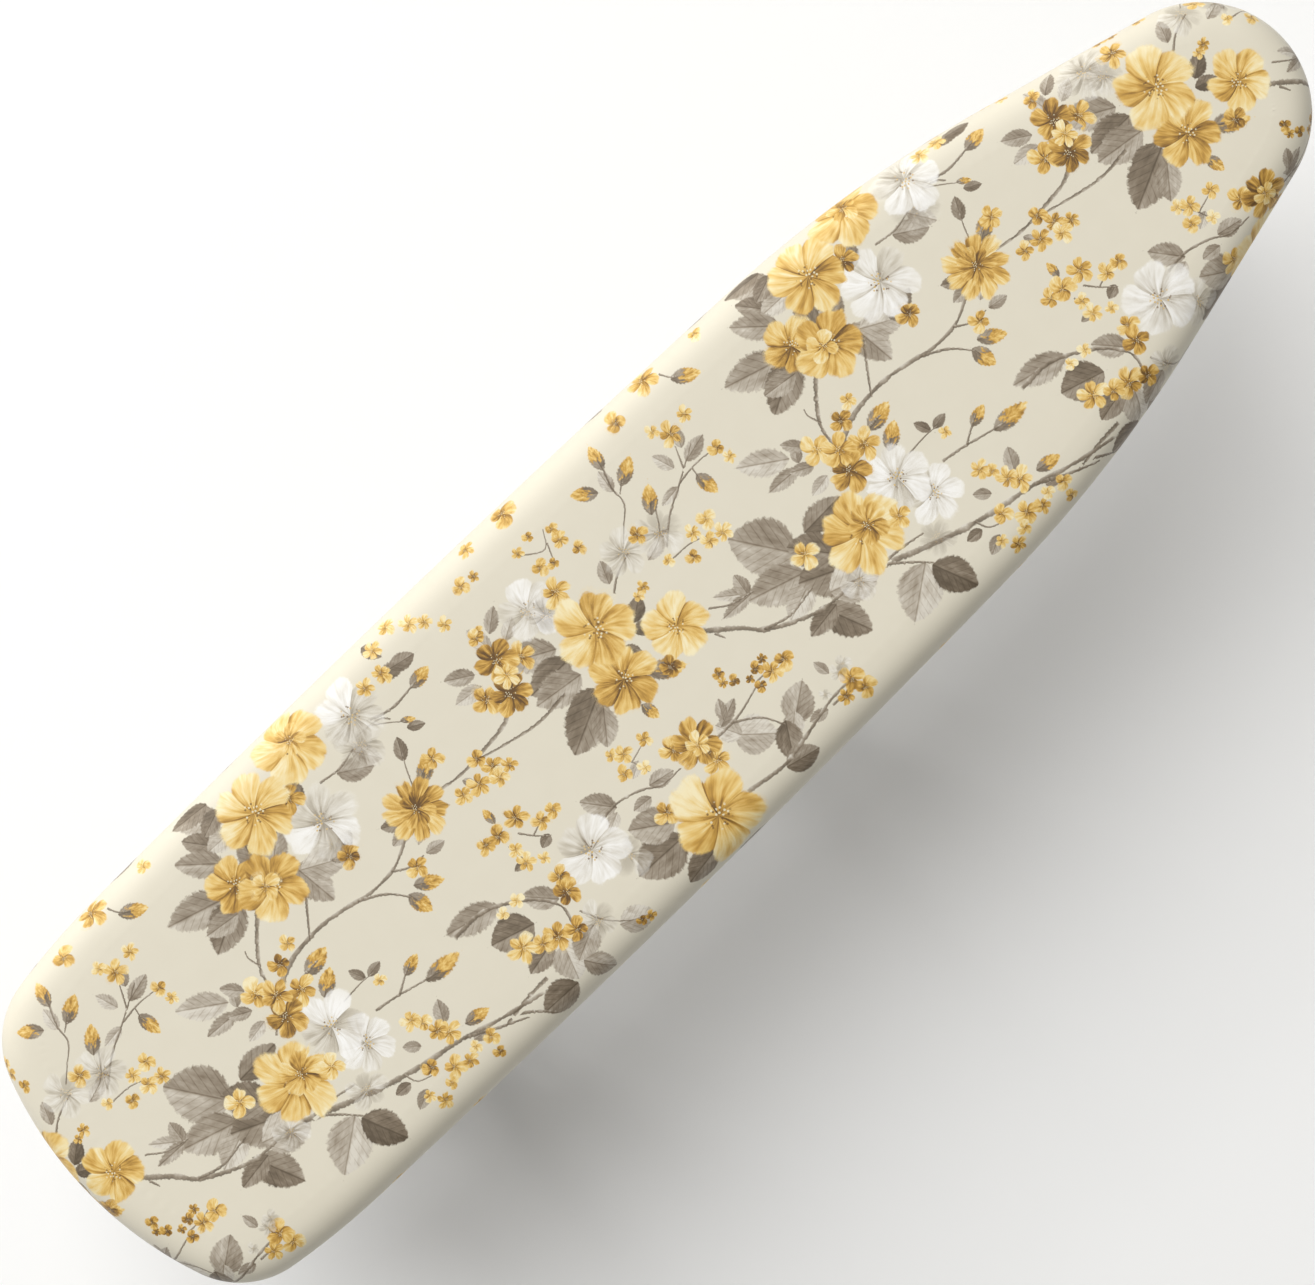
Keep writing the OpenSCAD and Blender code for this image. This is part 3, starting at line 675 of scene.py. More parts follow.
def draw_low():
    """The largest flower, low on the side, with a white one and a trailing spray."""
    each(twig,
        (1.2, (-124, -23), (-113, -23), (-104, -27), (-97, -32.5), (-93, -39.5), (-95, -47)),
        (0.8, (-66, -28.5), (-58, -28), (-50, -30.2), (-44, -33.6), (-36, -34)),
        (0.8, (-24, -35), (-12, -34.8), (-1, -32)), (0.8, (-15, -34.6), (-7, -40), (-3, -47)),
        (1.2, (-26, -54), (-12, -56), (0, -54), (12, -51.5), (20, -51)),
        (1.0, (-126, -54), (-121, -58), (-117, -63)), (1.2, (-112, -52), (-121, -52.4), (-132, -54)),
        (0.6, (-87, -13), (-84, -17), (-80, -21)), (0.5, (-84, -17), (-77, -14.5)),
        (0.5, (-92, -14), (-91, -22)), (0.5, (-50, -16), (-46, -21), (-44, -28)),
        (0.5, (-46, -22), (-39, -20)), (0.6, (-90, -44), (-86, -52), (-80, -58)),
    )
    each(leaf,
        (-50, -50, 19, 178, DARK, 0.42), (-49, -45, 15, 146, MID, 0.42), (-46, -60, 13, 190, DARK, 0.4),
        (-59, -29, 12, 128, MID, 0.34), (-103, -37, 15, 163, DARK, 0.46), (-107, -25, 19, 166, MID, 0.26),
        (-92, -37, 12, 132, MID, 0.34), (-103, -45, 12, 192, DARK, 0.36), (-101, -48, 12, 250, LIGHT, 0.5),
        (-90, -50, 12, 205, MID, 0.4), (-106, -60, 14, 178, DARK, 0.42), (-100, -56, 12, -58, MID, 0.36),
        (-84, -56, 12, -25, LIGHT, 0.4), (-17, -38, 14, -42, LIGHT, 0.48), (-2, -46, 13, 238, DARK, 0.36),
        (-15, -40, 9, 116, LIGHT, 0.44), (-12, -57, 12, -14, DARK, 0.4), (-18, -33.6, 10, 22, MID, 0.24),
        (-16, -32.6, 7, 60, MID, 0.3), (-47, -31, 9, -12, MID, 0.34), (-60, -30, 7, 205, LIGHT, 0.34),
        (-80, -20, 5, 200, DARK, 0.4), (-49, -34, 7, 175, MID, 0.34), (-44, -23, 6, 210, LIGHT, 0.34),
    )
    each(flower,
        (-88, -50, 7, SMOKE, 5), (-67, -42, 8, SMOKE, 4), (-74, -33, 12.6, WHITE, 5),
        (-26, -40, 5.4, HONEY, 5), (-49, -41, 4.6, HONEY, 4), (-38, -53, 16, BUTTER, 5),
        (-34, -28, 4.6, HONEY, 4), (-27, -32, 8.4, AMBER, 6), (-27, -32.5, 4.4, BUTTER, 5),
        (-87, -32, 4, HONEY, 4), (-89, -37, 5, AMBER, 4), (-111, -40, 5.6, BUTTER, 5),
        (-100.5, -45, 5.6, HONEY, 5), (-94.5, -47.5, 4.2, AMBER, 4), (-105.5, -43.5, 3.8, HONEY, 4),
    )
    each(blossoms,
        (3.2, PALE, (-108, -28), (-102, -28), (-44, -26)), (4.2, HONEY, (-97, -9), (-92, -9.4), (-84, -9)),
        (3.2, BUTTER, (-91, -16.4), (-91.5, -21.5), (-86.5, -24.4), (-49, -16), (-50, -23)),
        (3.4, HONEY, (-79, -15.4), (-74, -15.4), (-38, -19.4), (-46, -18.4)),
    )
    bud(-90, -6, 6, 88, 0.34)
    blossoms(2.6, AMBER, (-78, -60), (-75, -61))
    leaf(-92, -21, 4, 180, DARK, 0.34)


def draw_sprigs():
    """Loose sprigs and buds in the open ground between the sprays."""
    each(twig,
        (0.6, (12, 51), (9.5, 44), (9, 38), (4, 33), (0, 29)), (0.6, (14, 44), (10, 41)),
        (0.7, (9, 19), (17, 25.6), (25, 30), (32, 34), (37, 37)), (0.6, (30, 33), (33, 40)),
        (0.6, (26, 30.6), (34, 31.4), (42, 30.6)), (0.5, (32, 31), (31.5, 27)),
        (0.5, (15, 30), (10, 23), (3, 20)), (0.5, (8, 15), (16, 14.4), (24, 11)),
        (0.6, (45, 60), (47, 56.5), (49, 55)), (0.5, (0, -31), (6, -31), (10, -30)),
        (0.7, (12, -53), (20, -53), (25, -51)),
    )
    each(bud,
        (5.5, 46, 9, 142, 0.36), (11.5, 50, 9, 78, 0.34), (12, 42.5, 10, 30, 0.34),
        (12.5, 29.4, 10, 52, 0.34), (31.6, 29, 9, -84, 0.36), (46.5, 56, 10, -30, 0.34),
    )
    each(flower,
        (-2, 27, 8, SMOKE, 5), (11, 24, 8.5, SMOKE, 5), (5, 28, 3.8, HONEY, 4),
    )
    each(blossoms,
        (4.0, HONEY, (42, 30.4), (34.4, 43.6), (13, 10.8), (24.6, 58.4)),
        (3.2, BUTTER, (31, 48), (43, 25.6), (18, 16.4), (24, 16.6), (25, 10), (20, 11), (6.4, 15.6), (62, 62),
         (42, 45)),
    )
    flower(40, 63, 6, HONEY, 5)
    each(leaf,
        (28, 35, 8, 108, LIGHT, 0.3), (32, 34, 10, 14, MID, 0.28), (34, 38, 7, 62, MID, 0.3),
        (9, 43, 8, 82, LIGHT, 0.3), (25, 30, 8, 186, LIGHT, 0.26), (13, 23, 9, 200, LIGHT, 0.26),
        (2, 20, 9, 10, LIGHT, 0.26),
    )
    each(blossoms,
        (4.6, HONEY, (5.6, -32), (11, -32)), (2.4, AMBER, (-1, -29), (2.6, -28), (6, -27), (0, -33)),
        (4.8, HONEY, (17, -54), (23.4, -56), (22, -51)), (3.0, SMOKE, (20.4, -47), (12.6, -49), (23, -46)),
    )
    each(leaf,
        (-1, -49, 14, 36, MID, 0.4), (2, -46, 9, 222, LIGHT, 0.4), (18, -45, 6, 100, MID, 0.3),
        (10, -53, 7, 170, MID, 0.3),
    )


for draw in (draw_sprigs, draw_low, draw_rose, draw_star, draw_tower, draw_trio):
    draw()

LAYERS = {"leaf": 4, "twig": 2, "flower": 3}
# Beyond this far across the cloth, plus a share of a part's size, outer rows stay off the board's top.
TOP_HALF_WIDTH = 66.0
REACH = {"leaf": 0.6, "flower": 1.0}
TWIG_REACH = 4.0


def repeats():
    """Every printed part in every repeat that the cloth takes in: rows of repeats side by side, each row
    stepped along from the last. A part of the outer rows is kept where it stays off the board's top.
    """
    for kind, parts in print_parts.items():
        copies = []
        for row in (-1, 1, 0):
            for part in parts:
                line = np.array(part["line"], float) + row * np.array(ROW)
                reach = TWIG_REACH if kind == "twig" else REACH[kind] * part["size"]
                if row and np.abs(line[:, 1]).min() < TOP_HALF_WIDTH + reach:
                    continue
                step = REPEAT - LEAN * (line[:, 1] - row * ROW[1])
                for column in range(-2, 3):
                    place = line + np.stack([column * step, 0 * step], axis=-1)
                    seed = (0.37 * line[0, 0] + 0.61 * column) % 1.0
                    copies.append({**part, "line": PRINT_SCALE * place + PRINT_SHIFT, "seed": seed})
        yield kind, copies


def lay_print(mesh, lay, faces):
    """Gives each face of the cloth the printed parts that cross it. Every kind of part has a few layers, and
    a face's topmost part goes in the highest. A layer holds each corner's place in that part's own
    coordinates, with the part's seed, and the face's presence, tone and shape.
    """
    corners = lay[faces]
    centres = corners.mean(axis=1)
    for kind, parts in repeats():
        depth = LAYERS[kind]
        spots = np.zeros((depth, len(faces), 4, 3), np.float32)
        looks = np.zeros((depth, len(faces), 3), np.float32)
        filled = np.zeros(len(faces), int)
        for part in reversed(parts):
            near, local = COORDINATES[kind](part, corners, centres)
            room = filled[near] < depth
            near, local = near[room], local[room]
            level = depth - 1 - filled[near]
            spots[level, near, :, :2] = local
            spots[level, near, :, 2] = part["seed"]
            looks[level, near] = (1.0, part["tone"], part["shape"])
            filled[near] += 1
        for level in range(depth):
            spot = mesh.attributes.new(f"{kind}_spot_{level}", "FLOAT_VECTOR", "CORNER")
            spot.data.foreach_set("vector", spots[level].ravel())
            look = mesh.attributes.new(f"{kind}_look_{level}", "FLOAT_VECTOR", "FACE")
            look.data.foreach_set("vector", looks[level].ravel())


def twig_coordinates(part, corners, centres):
    """The faces that a twig crosses, and their corners as the share of its length run and the signed distance
    across over its half width, which narrows along it.
    """
    half = 0.5 * part["size"]
    line, run = along_curve(part["line"], 6 * len(part["line"]))
    a, d = line[:-1], np.diff(line, axis=0)
    length = np.linalg.norm(d, axis=1)

    def offsets(points):
        off = points[..., None, :] - a
        t = np.clip((off * d).sum(-1) / length**2, 0, 1)
        return off, t, np.linalg.norm(off - t[..., None] * d, axis=-1)

    near = np.flatnonzero((centres > line.min(0) - 2).all(1) & (centres < line.max(0) + 2).all(1))
    near = near[offsets(centres[near])[2].min(-1) < half + 1.1]
    p = corners[near]
    off, t, dist = offsets(p)
    best = dist.argmin(-1)

    def nearest(values):
        return np.take_along_axis(values, best[..., None], -1)[..., 0]

    side = np.sign(nearest(d[:, 0] * off[..., 1] - d[:, 1] * off[..., 0]))
    along = run[best] + nearest(t) * length[best]
    along = along + np.maximum(((p - line[-1]) * d[-1]).sum(-1) / length[-1], 0) * (best == len(a) - 1)
    along = along - np.maximum(((line[0] - p) * d[0]).sum(-1) / length[0], 0) * (best == 0)
    along = along / run[-1]
    taper = np.clip(1.1 - 0.5 * along, 0.5, 1.2)
    return near, np.stack([along, side * nearest(dist) / (half * taper)], axis=-1)


def turned_to(part, points):
    """Points measured from a part, along and across its heading, as shares of its size."""
    size, turn = part["size"], math.radians(part["turn"])
    along = np.array([math.cos(turn), math.sin(turn)]) / size
    across = np.array([-math.sin(turn), math.cos(turn)]) / size
    off = points - part["line"][0]
    return np.stack([off @ along, off @ across], axis=-1)


def flower_coordinates(part, corners, centres):
    """The faces that a flower crosses, and their corners turned to it."""
    off = centres - part["line"][0]
    near = np.flatnonzero((off**2).sum(1) < (1.12 * part["size"] + 0.9) ** 2)
    return near, turned_to(part, corners[near])


def leaf_coordinates(part, corners, centres):
    """The faces that a leaf or bud crosses, and their corners turned to it."""
    place, slack = turned_to(part, centres), 0.9 / part["size"]
    along, across = abs(place[:, 0] - 0.5), abs(place[:, 1])
    near = np.flatnonzero((along < 0.52 + slack) & (across < 1.25 * part["shape"] + slack))
    return near, turned_to(part, corners[near])


COORDINATES = {"leaf": leaf_coordinates, "twig": twig_coordinates, "flower": flower_coordinates}
BRUSHED_GOLD = [
    (0.0, (0.115, 0.055, 0.01)), (0.2, (0.31, 0.16, 0.022)), (0.42, (0.57, 0.325, 0.058)),
    (0.62, (0.76, 0.515, 0.155)), (0.82, (0.83, 0.655, 0.31)), (1.0, (0.88, 0.78, 0.50)),
]
BRUSHED_WHITE = [
    (0.0, (0.17, 0.13, 0.085)), (0.25, (0.42, 0.37, 0.29)), (0.5, (0.66, 0.62, 0.54)),
    (0.72, (0.80, 0.775, 0.715)), (1.0, (0.93, 0.92, 0.89)),
]
BRUSHED_TAUPE = [
    (0.0, (0.10, 0.072, 0.042)), (0.3, (0.205, 0.158, 0.105)), (0.55, (0.335, 0.28, 0.21)),
    (0.8, (0.51, 0.455, 0.37)), (1.0, (0.68, 0.635, 0.545)),
]


def paint_flower(net, level, wash, grain):
    """The colour and cover of one layer of flowers. In polar coordinates, turned a little more the further
    out, a flower is cut into petals, each reaching R = length (1 - notch e^3) where e is 0 on its middle and
    1 at its sides, with a ragged end. It darkens to its throat and to the side where the next petal lies on
    it, and streaks run outwards.
    """
    x, y, seed = net.field(f"flower_spot_{level}")
    mask, tone, shape = net.field(f"flower_look_{level}")
    petals = shape.floor()
    notch = shape - petals
    radius = (x * x + y * y).root()
    turn = (y.math("ARCTAN2", x) * (0.5 / math.pi) + 0.5) * petals + (radius - 0.6) * 0.22 + seed
    petal = turn.floor()
    step = turn - petal
    side = abs(step * 2.0 - 1.0)
    chance = net.chance(net.point(petal.math("MODULO", petals), seed))
    streak = net.noise(net.point(turn * 4.4, radius * 1.2 + seed * 9.0), 1.0, 2.0, 0.7, flat=True)
    ragged = net.noise(net.point(turn * 2.3, seed * 17.0 + 3.0), 1.0, 1.0, 0.5, flat=True)
    reach = (chance * notch * 0.6 + 1.0 - notch * 0.45) * (1.0 - notch * side ** 3.0)
    reach = reach + (ragged - 0.5) * 0.3 + (grain - 0.5) * 0.08
    reach = reach.math("MINIMUM", 1.1)
    body = (reach - radius).over(0.0, 16.0)
    white = tone.over(1.5, 100.0)
    tint = tone - white * 1.9
    near = radius / reach
    throat = (1.0 - radius * 2.4).math("MAXIMUM", 0.0)
    dusky = white * (0.44 - chance).over(0.0, 9.0)
    shade = tint - dusky * 0.22 + (streak - 0.5) + (chance - 0.5) * 0.34 + (wash - 0.5) * 0.3
    shade = shade + (0.45 - step) * 0.22 - throat * 0.36
    shade = shade - (step ** 9.0) * ragged * 0.5 - (1.0 - step) ** 14.0 * ragged * 0.3
    shade = shade + near ** 5.0 * 0.2 - near.over(0.92, 10.0) * 0.14
    colour = net.mix(white, net.ramp(shade, *BRUSHED_GOLD), net.ramp(shade, *BRUSHED_WHITE))
    gap, spot = net.cells(net.point(x, y, seed), 12.0, flat=True)
    stamen = (0.34 - gap).over(0.0, 12.0) * (0.3 - radius).over(0.0, 20.0) * (spot - 0.35).over(0.0, 20.0)
    anther = net.mix(white, (0.80, 0.74, 0.52), (0.64, 0.40, 0.07))
    colour = net.mix(stamen * 0.8, colour, net.mix(spot.over(0.62, 30.0), (0.15, 0.075, 0.015), anther))
    smoky = white * (2.5 - tone).over(0.0, 40.0)
    thin = white * (ragged * near ** 3.0 * 0.7) + dusky * 0.3 + smoky * 0.3
    return colour, body * mask.over(0.9, 10.0) * (1.0 - thin)


def paint_leaf(net, level, wash, grain):
    """The colour and cover of one layer of leaves and buds. A leaf's half width at x along it is W (4x (1 -
    x))^0.75 (1.12 - 0.3x) with a toothed edge; slanting veins leave its midrib and one half is paler. A bud
    is a leaf whose outer part is gold.
    """
    x, y, seed = net.field(f"leaf_spot_{level}")
    mask, tone, width = net.field(f"leaf_look_{level}")
    off = abs(y)
    swell = (x * (1.0 - x) * 4.0).math("MAXIMUM", 0.0)
    tooth = (x * 9.0 + seed).fract()
    edge = width * (swell ** 0.75) * (1.12 - x * 0.3) + (tooth - 0.5) * 0.028 + (grain - 0.5) * 0.07
    body = (edge - off).over(0.0, 26.0)
    vein = (x * 6.5 - off * 7.0 + seed * 3.0).fract()
    vein = abs(vein * 2.0 - 1.0)
    streak = net.noise(net.point(x * 5.0 - off * 4.0, y * 9.0 + seed * 11.0), 1.0, 2.0, 0.6, flat=True)
    bloom = tone.over(1.5, 100.0)
    tint = tone - bloom * 2.12
    half = y.over(0.0, 30.0)
    shade = tint + (half - 0.5) * 0.2 + (streak - 0.5) * 0.55 + (wash - 0.5) * 0.3 + x * 0.14 - 0.08
    shade = shade - vein.over(0.8, 6.0) * 0.17 * (off * 14.0).math("MINIMUM", 1.0)
    shade = shade - (0.018 - off).over(0.0, 60.0) * 0.25
    taupe = net.ramp(shade, *BRUSHED_TAUPE)
    petal = net.ramp(streak * 1.1 + x * 0.4 - off * 0.5 - 0.3, *BRUSHED_GOLD)
    open_part = (x + (streak - 0.5) * 0.9 - off * 0.5).over(0.27, 10.0) * bloom
    return net.mix(open_part, taupe, petal), body * mask.over(0.9, 10.0)


def paint_twig(net, level, wash, grain):
    """The colour and cover of one layer of twigs: |across| under 1, roughened along its length, and darker on
    its lower side.
    """
    along, across, seed = net.field(f"twig_spot_{level}")
    mask, _, _ = net.field(f"twig_look_{level}")
    knot = net.noise(net.point(along * 14.0, seed), 1.0, 2.0, 0.6, flat=True)
    rough = (grain - 0.5) * 1.3 + (knot - 0.5) * 1.6
    body = (rough + 1.3 - abs(across)).over(0.0, 2.4)
    body = body * (along + 0.01).over(0.0, 60.0) * (1.01 - along).over(0.0, 60.0)
    shade = across * 0.26 + (knot - 0.5) * 1.1 + (grain - 0.5) * 0.4 + (wash - 0.5) * 0.6 + 0.34
    return net.ramp(shade, *BRUSHED_TAUPE), body * mask.over(0.9, 10.0) * 0.92


def printed_cotton():
    """Cream cotton satin, printed: the layers are painted one over another, and the weave and slubs are
    bumps.
    """
    net = Net("printed_cotton", rough=0.62, Sheen_Weight=0.12, Sheen_Roughness=0.45)
    cloth = net.node("ShaderNodeUVMap", {"uv_map": "OFBake"}, []).outputs[0]
    lay = stretched(net, cloth, CLOTH_SPAN[0], CLOTH_SPAN[1], 1.0)
    wash = net.noise(lay, 0.12, 2.0, 0.5, flat=True)
    grain = net.noise(lay, 1.1, 2.0, 0.6, flat=True)
    colour = net.mix((wash - 0.5) * 0.5 + 0.5, (0.690, 0.640, 0.515), (0.725, 0.678, 0.555))
    for kind, paint in (("leaf", paint_leaf), ("twig", paint_twig), ("flower", paint_flower)):
        for level in range(LAYERS[kind]):
            tint, body = paint(net, level, wash, grain)
            colour = net.mix(body, colour, tint)
    net.set(Base_Color=colour, Roughness=grain * 0.1 + 0.57)
    x, y, _ = net.parts(lay)
    weave = (x * 14.0).math("SINE") * (y * 14.0).math("SINE")
    net.bump(weave * 0.5 + grain * 0.35, 0.00003, 0.5)
    return net.material


points, faces, lay = cover_surface()
CLOTH_SPAN = (640.0, 250.0)
cover = make_piece("cover_cloth", points, faces, bpy.data.materials.new("unprinted"), "board")
lay_print(cover.data, lay, faces)
uv = cover.data.uv_layers.new(name="OFBake")
corner = np.empty(len(cover.data.loops), int)
cover.data.loops.foreach_get("vertex_index", corner)
uv.data.foreach_set("uv", (lay[corner] / CLOTH_SPAN + 0.5).ravel())
cover.data.materials[0] = printed_cotton()
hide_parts("cover")

# ---- finishes of the padding, binding, metal and mouldings ---------------------------------------------


def binding_tape():
    """Cream cotton tape: a twill, its ribs at a slant, a little washed out."""
    net = Net("binding_tape", rough=0.82, Sheen_Weight=0.15)
    place = net.place()
    wash = net.noise(place, 60.0, 3.0)
    fine = net.noise(place, 1400.0, 2.0)
    x, y, z = net.parts(place)
    twill = ((x + y) * 4200.0).math("SINE") * 0.5 + ((x - y) * 5200.0 + z * 2600.0).math("SINE") * 0.4
    net.set(
        Base_Color=net.mix(wash * 0.7 + fine * 0.3, (0.66, 0.60, 0.46), (0.78, 0.73, 0.60)),
        Roughness=0.76 + fine * 0.12,
    )
    net.bump(twill + fine, 0.00006, 0.6)
    return net.material


def stitch_thread():
    """Polyester thread, two plies twisted together, with painted shade darkening the grooves between the
    plies.
    """
    net = Net("stitch_thread", rough=0.55, Sheen_Weight=0.2)
    x, y, z = net.parts(net.place())
    ply_and_groove_shade = ((x * 1.3 + y + z * 2.0) * 9000.0).math("SINE")
    # Painted shade: the colour darkens where the plies' wave is low, in the grooves between them; the same
    # wave is the bump.
    net.set(Base_Color=net.mix(ply_and_groove_shade * 0.5 + 0.5, (0.70, 0.62, 0.45), (0.86, 0.80, 0.66)))
    net.bump(ply_and_groove_shade, 0.00004, 0.5)
    return net.material


def foam():
    """Pale open-celled foam: small pits of several sizes, yellowed unevenly."""
    net = Net("foam", rough=0.9)
    place = net.place()
    pit, size = net.cells(place, 900.0)
    yellow = net.noise(place, 18.0, 3.0)
    net.set(Base_Color=net.mix(yellow, (0.80, 0.77, 0.66), (0.86, 0.85, 0.79)), Roughness=0.85 + size * 0.1)
    net.bump(pit, 0.0003, 0.7)
    return net.material


def felt():
    """Grey needled felt: matted fibres of mixed shades."""
    net = Net("felt", rough=0.95, Sheen_Weight=0.25)
    place = net.place()
    fibre = net.noise(stretched(net, place, 900.0, 300.0, 900.0), 1.0, 4.0, 0.75)
    tuft = net.noise(stretched(net, place, 250.0, 800.0, 500.0), 1.0, 4.0, 0.75)
    net.set(Base_Color=net.mix(fibre * 0.6 + tuft * 0.4, (0.30, 0.29, 0.27), (0.62, 0.60, 0.56)))
    net.bump(fibre + tuft, 0.0003, 0.6)
    return net.material


def baked_enamel(name, low, high, rough):
    """Sprayed and baked enamel over steel: faint orange peel, small specks and slight unevenness of colour
    and gloss.
    """
    net = Net(name, rough=rough, Coat_Weight=0.25, Coat_Roughness=0.25)
    place = net.place()
    peel = net.noise(place, 700.0, 2.0)
    cloud = net.noise(place, 35.0, 4.0, 0.6)
    speck = net.noise(place, 1600.0, 1.0).over(0.7, 14.0)
    net.set(
        Base_Color=net.mix(speck * 0.3, net.mix(cloud, low, high), (0.28, 0.28, 0.28)),
        Roughness=rough + (cloud - 0.5) * 0.16 + (peel - 0.5) * 0.1,
    )
    net.bump(peel, 0.00006, 0.45)
    return net.material


def zinc_plate():
    """Zinc-plated steel: soft spangle, drawn lines from rolling and a thin yellowish passivation in places.
    """
    net = Net("zinc_steel", rough=0.34, metal=1.0)
    place = net.place()
    _, spangle = net.cells(place, 260.0)
    tint = net.noise(place, 45.0, 3.0, 0.6)
    rolled = net.noise(stretched(net, place, 60.0, 2600.0, 2600.0), 1.0, 3.0, 0.6)
    net.set(
        Base_Color=net.mix(
            tint.over(0.42, 3.0) * 0.6 + spangle * 0.25, (0.69, 0.70, 0.71), (0.74, 0.715, 0.64)),
        Roughness=0.26 + spangle * 0.09 + rolled * 0.12 + tint * 0.05,
    )
    net.bump(rolled + spangle * 0.2, 0.00002, 0.5)
    return net.material


def moulded(name, low, high, rough, grain_scale, depth):
    """A moulding: an even fine grain, with slight flow marks in its colour and gloss."""
    net = Net(name, rough=rough)
    place = net.place()
    grain = net.noise(place, grain_scale, 3.0, 0.6)
    flow = net.noise(stretched(net, place, 40.0, 90.0, 160.0), 1.0, 3.0, 0.5)
    net.set(
        Base_Color=net.mix(flow * 0.7 + grain * 0.3, low, high),
        Roughness=rough + (grain - 0.5) * 0.18 + (flow - 0.5) * 0.1,
    )
    net.bump(grain, depth, 0.6)
    return net.material


tape_cloth, thread, foam_stuff, felt_stuff = binding_tape(), stitch_thread(), foam(), felt()
enamel = baked_enamel("coated_steel", (0.56, 0.57, 0.58), (0.63, 0.64, 0.65), 0.36)
mesh_enamel = baked_enamel("mesh_steel", (0.43, 0.445, 0.46), (0.50, 0.515, 0.53), 0.45)
zinc = zinc_plate()
nylon = moulded("nylon", (0.74, 0.73, 0.68), (0.82, 0.81, 0.77), 0.42, 900.0, 0.00003)
knob_stuff = moulded("knob_plastic", (0.035, 0.036, 0.04), (0.06, 0.061, 0.066), 0.42, 2200.0, 0.00005)
rubber = moulded("foot_rubber", (0.028, 0.028, 0.029), (0.055, 0.054, 0.053), 0.78, 1300.0, 0.00008)

# ---- padding and hem -----------------------------------------------------------------------------------


def layered_pad(rings, count=720, fill_rows=40):
    """A closed pad lofted through rings of the outline, each an [inset, height], whose flat top and bottom
    are ruled between the outline's two sides.
    """
    rings, _ = along_curve(rings, len(rings) * 3)
    run = np.arange(count) * 2 * HALF_RUN / count
    points, normals = outline_at(run)
    heights = np.broadcast_to(HEM_Z + rings[:, 1][:, None], (len(rings), count))
    wall = np.dstack([points[None] - rings[:, :1, None] * normals[None], heights])
    faces = grid_faces(len(rings), count, False, True).tolist()
    stack = [wall.reshape(-1, 3)]
    across = np.linspace(0, 1, fill_rows + 1)[:, None, None]
    half = count // 2 + 1
    for edge, way in ((wall[0], -1), (wall[-1], 1)):
        left, right = edge[:half], edge[(-np.arange(half)) % count]
        faces += grid_faces(fill_rows + 1, half, start=sum(map(len, stack)))[:, ::way].tolist()
        stack.append(((1 - across) * left + across * right).reshape(-1, 3))
    points, faces = weld(np.concatenate(stack), faces)
    return points, outward(points, faces)


def lay_pad(name, node, rings, stuff):
    """A pad made in place of a node, which is hidden."""
    points, faces = layered_pad(rings)
    pad = make_piece(name, points, faces, stuff, "board")
    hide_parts(node)


lay_pad("foam_pad", "foam_layer", [
    (14, 21.0), (9.4, 20.5), (5.7, 19.1), (2.9, 16.5), (1.5, 13.7), (1.05, 10.5), (1.05, 6.3), (1.9, 3.8),
    (3.7, 2.0), (4.6, 2.0), (4.6, 8.0), (4.6, 13.0), (4.9, 14.8), (7.2, 16.9), (10.2, 17.9), (14, 18.1),
], foam_stuff)
lay_pad("felt_layer", "felt_pad", [
    (14, 18.0), (10.3, 17.8), (7.4, 16.8), (5.6, 14.9), (5.6, 14.32),
], felt_stuff)

HEM_CHANNEL = (26.2, 0.45)


def hem_drop(run):
    """How far the hem stands above its flat height: its pleats, less its sag."""
    return 0.75 * gathers(run) - 0.3


def hem_ring(section, stations, pucker=0.0):
    """A closed section of [inset, height] pairs carried round the outline, up and down with the hem. Fine
    puckers swell it about its middle by 1 + pucker sin.
    """
    run = np.arange(stations) * 2 * HALF_RUN / stations
    points, normals = outline_at(run)
    middle = section.mean(0)
    turn = 2 * math.pi * run / (2 * HALF_RUN)
    swell = 1 + pucker * np.sin(330 * turn + 1.9 * np.sin(17 * turn))
    loop = middle + (section - middle)[None] * swell[:, None, None]
    base = points[:, None] - loop[..., :1] * normals[:, None]
    height = HEM_Z + loop[..., 1:] + hem_drop(run)[:, None, None]
    faces = grid_faces(stations, len(section), True, True).tolist()
    ring = np.concatenate([base, height], axis=2).reshape(-1, 3)
    return ring, outward(ring, faces)


def folded_tape():
    """The tape's section: two laps either side of the cloth, and a round channel beyond its edge."""
    outer, inner, lap = 1.9, 1.42, 21.6
    low, high = math.asin(0.97 / outer), math.asin(0.47 / inner)
    big = np.linspace(math.pi - low, -math.pi + low, 15)
    small = np.linspace(-math.pi + high, math.pi - high, 15)
    bow = HEM_CHANNEL + outer * np.stack([np.cos(big), np.sin(big)], axis=-1)
    hollow = HEM_CHANNEL + inner * np.stack([np.cos(small), np.sin(small)], axis=-1)
    return np.array([
        (lap, 0.92), (lap + 0.1, 1.4), *bow, (lap + 0.1, -0.5), (lap, -0.02), (lap + 0.12, -0.02), *hollow,
        (lap + 0.12, 0.92),
    ])


